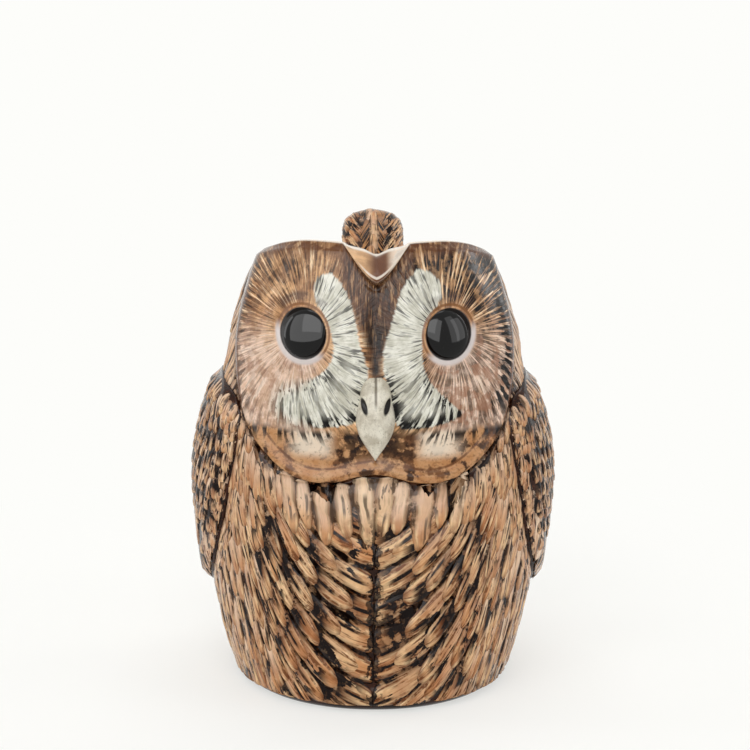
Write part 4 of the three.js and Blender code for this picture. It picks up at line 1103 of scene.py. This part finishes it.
def featherTree():  # geometry nodes: a petal on each point of the unrolled skin, laid onto the real skin
    tree = bpy.data.node_groups.new("featherCoat", "GeometryNodeTree")
    kinds = {"Geometry": "Geometry", "Petal": "Object", "Skin": "Object", "Glaze": "Material",
             "Map": "String", "Span": "Float", "Climb": "Float", "Sweep": "Float"}
    for key, kind in kinds.items():
        tree.interface.new_socket(key, in_out="INPUT", socket_type="NodeSocket" + kind)
    tree.interface.new_socket("Geometry", in_out="OUTPUT", socket_type="NodeSocketGeometry")
    source = dict(zip(kinds, [Signal(s) for s in tree.nodes.new("NodeGroupInput").outputs]))
    position = addNode("GeometryNodeInputPosition", {}, tree)

    def named(name, kind="FLOAT"):
        return addNode("GeometryNodeInputNamedAttribute", {"Name": name}, tree, "Attribute", data_type=kind)

    petal, skinMesh = [addNode("GeometryNodeObjectInfo", {"Object": source[key]}, output="Geometry")
                       for key in ("Petal", "Skin")]
    placed = addNode("GeometryNodeInstanceOnPoints", {
        "Points": source["Geometry"], "Instance": petal,
        "Rotation": addNode("FunctionNodeEulerToRotation", {0: combine(0.0, 0.0, named("aim"))}),
        "Scale": combine(named("wide"), named("long"), named("thick"))})
    solid = addNode("GeometryNodeRealizeInstances", {"Geometry": placed})
    x, y, z = split(position)

    # A breast feather keeps to its own side of the middle line, and its row climbs outwards
    side = named("side")
    own = x * side * 1000.0 - 0.6
    squeezed = calc("MINIMUM", calc("EXPONENT", own / 1.1), 1.0) * 0.6
    held = (squeezed + largest(own, 0.0)) * side * 0.001
    across = calc("MULTIPLY_ADD", x, 1.0 - abs(side), held) / source["Span"]
    out = abs(across)
    risen = calc("MULTIPLY_ADD", out, source["Climb"], calc("POWER", out, 3.0) * source["Sweep"])
    up = y / (vessel["height"] * mm) + risen
    here = combine(calc("FRACT", across + 0.5), largest(up, feathers["hem"] / vessel["height"]), 0.0)
    skinMap = named(source["Map"], "FLOAT_VECTOR")

    def sample(value):
        return addNode("GeometryNodeSampleUVSurface", {
            "Mesh": skinMesh, "Value": value, "Source UV Map": skinMap, "Sample UV": here,
        }, data_type="FLOAT_VECTOR")

    ground = sample(position)
    lifted = vectorCalc("SCALE", sample(named("skinNormal", "FLOAT_VECTOR")), z)
    found = Signal(ground.socket.node.outputs["Is Valid"])
    stray = addNode("FunctionNodeBooleanMath", {0: found}, operation="NOT")
    made = addNode("GeometryNodeDeleteGeometry", {"Geometry": solid, "Selection": stray})
    target = vectorCalc("ADD", ground, lifted)
    made = addNode("GeometryNodeSetPosition", {"Geometry": made, "Position": target})
    made = addNode("GeometryNodeSetShadeSmooth", {"Geometry": made})
    made = addNode("GeometryNodeSetMaterial", {"Geometry": made, "Material": source["Glaze"]})
    connect(made, tree.nodes.new("NodeGroupOutput").inputs[0])
    return tree


petal = buildPetal("petal", 8, 5, 0.8)
breastPetal = buildPetal("breastPetal", 16, 10, 0.72)
bibPetal = buildPetal("bibPetal", 12, 8, 0.6, 0.6, (0.15, 0.6))
coatTree = featherTree()


def layCoat(name, spots, skinObject, slot, node, shape=petal, skinMap="skinMap", bend=(0.0, 0.0)):
    spots = np.array(spots, float)
    units = {"aim": 1, "long": mm, "wide": mm, "thick": mm, "tint": 1, "pale": 1, "dark": 1, "side": 1}
    values = {key: spots[:, 2 + k] * unit for k, (key, unit) in enumerate(units.items())}
    carrier = makeMesh(name + "_points", spots[:, :3] * (mm, mm, 0), [], None, values)
    modifier = carrier.modifiers.new("coat", "NODES")
    modifier.node_group = coatTree
    sockets = {s.name: s.identifier for s in coatTree.interface.items_tree if s.in_out == "INPUT"}
    span = frontSpan if skinMap == "frontMap" else 2 * halfRound
    settings = {"Petal": shape, "Map": skinMap, "Span": span * mm, "Climb": bend[0], "Sweep": bend[1],
                "Skin": skinObject, "Glaze": featherMaterial}
    for key, value in settings.items():
        modifier[sockets[key]] = value
    mesh = bpy.data.meshes.new_from_object(carrier.evaluated_get(bpy.context.evaluated_depsgraph_get()))
    bpy.data.objects.remove(carrier)
    mesh.name = name
    placePiece(linked(name, mesh), featherMaterial, slot, node)


featherColors = {
    "tan": tone(206, 146, 92), "cream": tone(246, 212, 162), "pale": tone(246, 220, 192),
    "rust": tone(156, 88, 40), "brown": tone(104, 56, 26), "dark": tone(18, 4, 1),
}


def featherGlaze():
    c = featherColors
    material, tree, shader = newMaterial("featherGlaze", c["tan"])
    across, along = split(attribute(tree, "petalMap", "Vector"))[:2]
    tint, pale, dark, width = [attribute(tree, key) for key in ("tint", "pale", "dark", "wide")]
    offset = across - 0.5
    out = abs(offset) * 2.0
    seed = tint * 61.0
    fine, fineSoft = useGroup(strokes, combine(across, along, seed), 9.0, 1.6, 0.44)
    hair = useGroup(strokes, combine(across, along, seed), 16.0, 2.4, 0.42)[0]
    blots = useGroup(mottle, combine(across * 2.2, along * 1.6, seed), 1.0)[0]
    place = placeIn(tree)
    x, y, z = split(place)
    cloud, patch, soft = [useGroup(mottle, place, scale)[0] for scale in (0.14, 0.5, 0.24)]
    pick, other = calc("FRACT", tint * 7.3), calc("FRACT", tint * 13.7)

    # Dark glaze in the grooves and in blots, with a softer brown round it; at each feather's root, where it
    # tucks under its neighbours, the dark is pooled glaze and painted shade
    wobble = (fineSoft - 0.5) * 0.30
    worn, start = out + wobble, along - pick * 0.4
    shift = offset + wobble * 0.4 - 0.16 + other * 0.32
    groove = abs(shift).ramp(0.065, 0.03) * start.ramp(0.16, 0.26) * start.ramp(0.62, 0.46)
    groove = groove * tint.ramp(0.30, 0.34)
    pastEdge = worn - (width.ramp(0.0048, 0.0136, 0.44, 0.54) + along.ramp(0.55, 0.9, 0.0, 0.28))
    edge = pastEdge.ramp(0.0, 0.08) * soft.ramp(0.0, 0.45, 0.35, 1.0)
    reachDown = (other * dark.ramp(0.4, 1.0, 0.6, 1.15)).ramp(0.15, 1.0, 0.12, 0.62)
    pastRoot = along + wobble - reachDown
    # Root mark: pooled glaze and painted shade under the neighbouring feathers' tips.
    root = pastRoot.ramp(0.05, -0.06) * dark.ramp(0.15, 0.5) * soft.ramp(0.25, 0.5, 0.3, 1.0)
    tip = (along + wobble * 0.3).ramp(0.94, 0.98)
    pooledAndShaded = largest(pastEdge.ramp(-0.30, 0.02), pastRoot.ramp(0.28, 0.0) * dark.ramp(0.15, 0.5),
                     along.ramp(0.78, 0.95))
    blot = (blots - dark.ramp(0.0, 1.0, 0.90, 0.64)).ramp(0.0, 0.08) * along.ramp(0.85, 0.6)
    middle = abs(x) + (patch - 0.5) * 2.4
    stem = middle.ramp(1.8, 1.0) * y.ramp(-20.0, -30.0) * z.ramp(62.0, 54.0)
    mark = largest(groove, edge, blot, root, tip, stem)
    strength = dark.ramp(0.0, 0.6, 0.7, 1.0) * patch.ramp(0.0, 0.4, 0.85, 1.0)

    # Ground of one feather: tan to cream, rust washes, pale ridges on both sides of the shaft
    ridge = abs(out - 0.5).ramp(0.3, 0.05) * soft.ramp(0.2, 0.7, 0.15, 0.8)
    hatch = dark.ramp(0.1, 0.7, 0.25, 1.0)
    # The pale coat near each root is partly the feathers' cream and partly painted highlight, strongest on
    # the wings.
    color = coated(blend(tint.ramp(0.2, 1.0, 0.0, 0.75), c["tan"], c["cream"]), c,
                   (cloud * 0.6, "rust"),
                   (ridge, "cream"),
                   (pale * along.ramp(0.85, 0.3, 0.15, 0.85), "pale"),
                   (hair * hatch * 0.45, "rust"),
                   (fine * (hatch * patch.ramp(0.1, 0.7, 0.3, 0.9)), "brown"),
                   (pooledAndShaded * soft.ramp(0.0, 0.6, 0.25, 0.75), "brown"),
                   (mark * strength, "dark"))
    finishGlaze(shader, color, fineSoft, 0.3)
    return material


def groundGlaze():
    material, tree, shader = newMaterial("groundGlaze", featherColors["brown"])
    cloud, speck = useGroup(mottle, placeIn(tree), 0.2)
    color = blend(cloud, bodyColors["ground"], bodyColors["groundLight"])
    finishGlaze(shader, blend(speck * 0.5, color, featherColors["brown"]), cloud, 0.2)
    return material


featherMaterial = featherGlaze()
groundMaterial = groundGlaze()
breastBend = (face["featherClimb"] * frontSpan / vessel["height"],
              face["featherSweep"] * (frontSpan / face["chinHalfWidth"]) ** 3 / vessel["height"])
layCoat("breast_feathers", breastCoat(), body, "body", "body", breastPetal, "frontMap", breastBend)
layCoat("bib_feathers", bibCoat(), body, "body", "body", bibPetal)
layCoat("body_feathers", plumage(), body, "body", "body")
for wingSide, wingNode in ((1, "left_wing"), (-1, "right_wing")):
    layCoat(wingNode + "_feathers", wingCoat(wingSide), wingSkins[wingSide], "wing", wingNode)
    placePiece(wingSkins[wingSide], groundMaterial, "wing", wingNode)
placePiece(tailSkin, groundMaterial, "tail", "tail")
layCoat("tail_feathers", tailCoat(), tailSkin, "tail", "tail")

# Handle
handle = {
    "width": 21.0, "crown": 8.8, "edge": 2.0, "top": 133.79, "reach": 74.5, "root": 101.0, "foot": 49.0,
    "footWidth": 0.78, "flare": 0.28, "flareSteps": 44, "flareReach": 4, "sole": 0.86, "sink": 2.6,
    "seatDepth": 1.8, "steps": 150, "crownIndex": 16, "topReach": 13.0, "featherRise": 0.54,
    "line": [(0.00, 0.676), (0.16, 0.765), (0.34, 0.860), (0.53, 0.948), (0.71, 0.996), (0.87, 0.978),
             (0.97, 0.880), (1.00, 0.745), (0.97, 0.575), (0.87, 0.400), (0.68, 0.240), (0.45, 0.110),
             (0.22, 0.030), (0.00, 0.000)],
}


def strapOutline(widthShare, flare):  # half-round section: across and rise, over the crown and back under
    h = handle
    half = h["width"] / 2 * widthShare * flare - h["featherRise"]
    crown = h["crown"] * (1 + widthShare) / 2 * flare - h["featherRise"]
    a = math.pi * np.arange(33) / 32
    over = np.stack([-half * np.cos(a), h["edge"] + (crown - h["edge"]) * np.sin(a)], -1)
    b = math.pi / 2 * np.arange(1, 5) / 4
    corner = half * (1 - h["sole"])
    right = np.stack([half - corner * (1 - np.cos(b)), h["edge"] * (1 - np.sin(b))], -1)
    under = np.stack([np.linspace(right[-1, 0], -right[-1, 0], 9)[1:-1], np.zeros(7)], -1)
    return np.vstack([over, right, under, right[::-1] * (-1, 1)])


def wallBehind(x, z):  # y of the outer wall at the back, for points beside the middle line
    turns = np.linspace(math.pi * 1.15, math.pi * 0.85, 61)
    found = []
    for px, pz in zip(x, z):
        xs, ys = section(turns, np.full_like(turns, pz))[:2]
        order = np.argsort(xs)
        found.append(np.interp(px, xs[order], ys[order]))
    return np.array(found)


def buildHandle():
    h = handle
    wallY = float(section(np.array(math.pi), np.array(h["root"]))[1]) - h["sink"]
    spanY = h["reach"] - h["crown"] - wallY
    spanZ = h["top"] - h["crown"] - h["foot"]
    path = smoothLine([(wallY + a * spanY, h["foot"] + b * spanZ) for a, b in h["line"]], False, 40)
    length = runOf(path)
    places = np.linspace(0, length[-1], h["steps"] + 1)
    line = np.stack([np.interp(places, length, path[:, k]) for k in range(2)], -1)
    along = np.gradient(line, axis=0)
    along /= np.linalg.norm(along, axis=1, keepdims=True)
    rings, marks, buried = [], [], []
    for k, (centre, way) in enumerate(zip(line, along)):
        share = k / h["steps"]
        nearEnd = min(share, 1 - share) * h["flareSteps"]
        flare = 1 + h["flare"] * max(1 - nearEnd / h["flareReach"], 0) ** 2
        outline = strapOutline(1 + (h["footWidth"] - 1) * float(softStep(share)), flare)
        across, rise = outline.T
        ring = np.stack([across, centre[0] - way[1] * rise, centre[1] + way[0] * rise], -1)
        seat = wallBehind(across, ring[:, 2]) - h["seatDepth"]
        buried.append(bool((ring[:, 1] < seat).all()))
        ring[:, 1] = np.maximum(ring[:, 1], seat)
        rings.append(ring)
        marks.append(runOf(outline) - runOf(outline)[h["crownIndex"]])
    middle = len(rings) // 2
    first = max([k for k in range(middle) if buried[k]], default=0)
    last = min([k for k in range(middle, len(rings)) if buried[k]], default=len(rings) - 1) + 1
    grid, marks = np.array(rings[first:last]), np.array(marks[first:last])
    runs = (length[-1] - places[first:last])[:, None] + 0 * marks
    count, sides = marks.shape
    normals = np.cross(np.roll(grid, -1, axis=1) - np.roll(grid, 1, axis=1), np.gradient(grid, axis=0))
    normals /= np.maximum(np.linalg.norm(normals, axis=-1, keepdims=True), 1e-9)
    faces = tubeFaces(count, sides)
    uv = np.stack([marks / (2 * halfRound) + 0.5, runs / vessel["height"]], -1).reshape(-1, 2)
    maps = []
    for f in faces:
        columns = [k % sides for k in f]
        seam = max(f) >= count * sides or (min(columns) == 0 and max(columns) == sides - 1)
        maps += [parked["skinMap"] if seam else uv[k] for k in f]
    points = np.vstack([grid.reshape(-1, 3), grid[0].mean(0), grid[-1].mean(0)])
    top = np.clip(1 - np.abs(marks) / h["topReach"], 0, 1).ravel()
    return makeMesh("handle_strap", toFrame(points), faces, {"skinMap": maps}, {
        "strapTop": np.append(top, [0, 0]), "strapRun": np.append(runs.ravel(), [0, 0]),
        "skinNormal": np.vstack([normals.reshape(-1, 3), np.zeros((2, 3))]),
    }), float(length[-1])


def handleGlaze():
    material, tree, shader = newMaterial("handleGlaze", tone(150, 112, 84))
    place = placeIn(tree)
    cloud = useGroup(mottle, place, 0.14)[0]
    top, run = attribute(tree, "strapTop"), attribute(tree, "strapRun")
    over = top * handle["topReach"]
    slant = combine(run + over * 1.4, over, calc("SIGN", split(place)[0]) * 7.0)
    color = coated(blend(cloud, tone(128, 84, 50), tone(180, 132, 88)), {},
                   (useGroup(strokes, slant, 1.1, 0.15, 0.52)[0], tone(22, 7, 2)),
                   (top.ramp(0.08, 0.0), tone(196, 158, 120)))
    finishGlaze(shader, color, cloud, 0.2)
    return material


def handleCoat(length):
    spots = []
    for v in np.arange(6, length - 1.5, 3.4):
        spots.append(feather(rng.normal(0, 0.4), v, 0.0, 8.0, 4.2, 0.45, 0.6, 0.1))
        for side in (-1, 1):
            for s in (2.4, 5.0, 7.8, 10.4, 13.0):
                long = (11.0 if s < 8 else 8.5) * vary(0.12)
                spots.append(feather(side * s, v + 1.2 * s / 3 + rng.normal(0, 0.4), side * 0.6, long,
                                     3.4, 0.42, 0.3, 0.75))
    return [s for s in spots if 5 < s[1] < length - 1.5]


strap, strapLength = buildHandle()
placePiece(strap, handleGlaze(), "handle", "handle")
layCoat("handle_feathers", handleCoat(strapLength), strap, "handle", "handle")
for shape in (petal, breastPetal, bibPetal):
    bpy.data.objects.remove(shape)

# Floor, backdrop, lamps and camera, in metres
studio = {
    "floorHalf": 2.0, "wallAt": 0.9, "wallHeight": 0.9, "wallTurn": 60, "wallSteps": 25,
    "paper": tone(253, 253, 250), "world": tone(118, 118, 120),
    "lamps": [  # name, place, aim height, width, height, watts
        ("keyPanel", (-0.30, -0.95, 0.85), 0.08, 1.25, 0.85, 8.8),
        ("fillPanel", (0.95, -0.35, 0.45), 0.08, 0.50, 0.60, 2.2),
        ("leftStrip", (-0.85, 0.10, 0.34), 0.07, 0.30, 0.55, 1.6),
        ("rightStrip", (0.72, 0.42, 0.34), 0.07, 0.20, 0.55, 1.4),
        ("topSoftbox", (0.0, 0.15, 0.95), 0.05, 0.60, 0.60, 2.8),
        ("glossPanel", (-0.44, -1.00, 0.70), 0.10, 2.60, 1.25, 36.0),
        ("glossEdge", (1.02, -0.72, 0.62), 0.10, 0.42, 1.00, 2.6),
    ],
}


def seenRays(tree):
    return largest(*[addNode("ShaderNodeLightPath", {}, tree, f"Is {kind} Ray")
                     for kind in ("Camera", "Glossy", "Transmission")])


def addPaper(obj, near, far):  # holds the shadow near the jug, and is plain white further away
    material = bpy.data.materials.new(obj.name + "Paper")
    material.use_nodes = True
    tree = material.node_tree
    shader = tree.nodes["Principled BSDF"]
    for key, value in (("Base Color", studio["paper"]), ("Roughness", 0.9), ("Specular IOR Level", 0.0)):
        shader.inputs[key].default_value = value
    away = vectorCalc("LENGTH", addNode("ShaderNodeTexCoord", {}, tree, "Object"), output="Value")
    bright = addNode("ShaderNodeEmission", {"Color": studio["paper"], "Strength": 1.0}, tree)
    share = seenRays(tree) * away.ramp(near, far, 0.6, 1.0)
    mixed = addNode("ShaderNodeMixShader", {0: share, 1: Signal(shader.outputs[0]), 2: bright})
    connect(mixed, tree.nodes["Material Output"].inputs["Surface"])
    obj.data.materials.append(material)


def buildStudio():
    s = studio
    half = s["floorHalf"]
    corners = [(-half, -half, 0), (half, -half, 0), (half, half, 0), (-half, half, 0)]
    addPaper(makeMesh("floor", corners, [[0, 1, 2, 3]]), 0.07, 0.22)
    n = s["wallSteps"]
    a = np.radians(np.linspace(-s["wallTurn"], s["wallTurn"], n))
    low = np.stack([s["wallAt"] * np.sin(a), s["wallAt"] * np.cos(a), np.zeros(n)], -1)
    wall = np.vstack([low, low + (0, 0, s["wallHeight"])])
    addPaper(makeMesh("backdrop", wall, [[j, j + 1, n + 1 + j, n + j] for j in range(n - 1)]), 0.10, 0.34)

    world = bpy.data.worlds.new("studioLight")
    bpy.context.scene.world = world
    world.use_nodes = True
    tree = world.node_tree
    dim = tree.nodes["Background"]
    dim.inputs["Color"].default_value = s["world"]
    white = addNode("ShaderNodeBackground", {"Color": s["paper"], "Strength": 1.0}, tree)
    mixed = addNode("ShaderNodeMixShader", {0: seenRays(tree), 1: Signal(dim.outputs[0]), 2: white})
    connect(mixed, tree.nodes["World Output"].inputs["Surface"])

    for name, place, aimHeight, width, height, watts in s["lamps"]:
        light = bpy.data.lights.new(name, "AREA")
        light.shape = "RECTANGLE"
        light.size, light.size_y = width, height
        light.energy = watts
        lamp = linked(name, light)
        lamp.location = place
        lamp.rotation_euler = (Vector((0, 0, aimHeight)) - Vector(place)).to_track_quat("-Z", "Y").to_euler()
        lamp.visible_diffuse = not name.startswith("gloss")
    print("made studio with", len(s["lamps"]), "lamps")


view = {
    "distance": 600.0, "height": 212.0, "aimHeight": 90.0, "aimX": 0.4, "azimuth": -0.8, "roll": -0.5,
    "focal": 2043.0, "frame": 750.0,  # in pixels
    "sensor": 36.0,
}


def buildCamera():
    v = view
    turn, roll = math.radians(v["azimuth"]), math.radians(v["roll"])
    eye = Vector((v["aimX"] + math.sin(turn) * v["distance"], -math.cos(turn) * v["distance"], v["height"]))
    ahead = (Vector((v["aimX"], 0, v["aimHeight"])) - eye).normalized()
    level = ahead.cross(Vector((0, 0, 1))).normalized()
    plumb = level.cross(ahead)
    right = level * math.cos(roll) - plumb * math.sin(roll)
    up = level * math.sin(roll) + plumb * math.cos(roll)
    data = bpy.data.cameras.new("photoView")
    data.sensor_width = v["sensor"]
    data.lens = v["focal"] / v["frame"] * data.sensor_width
    data.clip_start, data.clip_end = 0.01, 50
    camera = linked("photoView", data)
    place = Matrix.Translation((eye + Vector((0, vessel["axisY"], 0))) * mm)
    camera.matrix_world = place @ Matrix((right, up, -ahead)).transposed().to_4x4()
    bpy.context.scene.camera = camera
    print("made camera")


buildStudio()
buildCamera()
bpy.context.scene.view_settings.view_transform = "Standard"
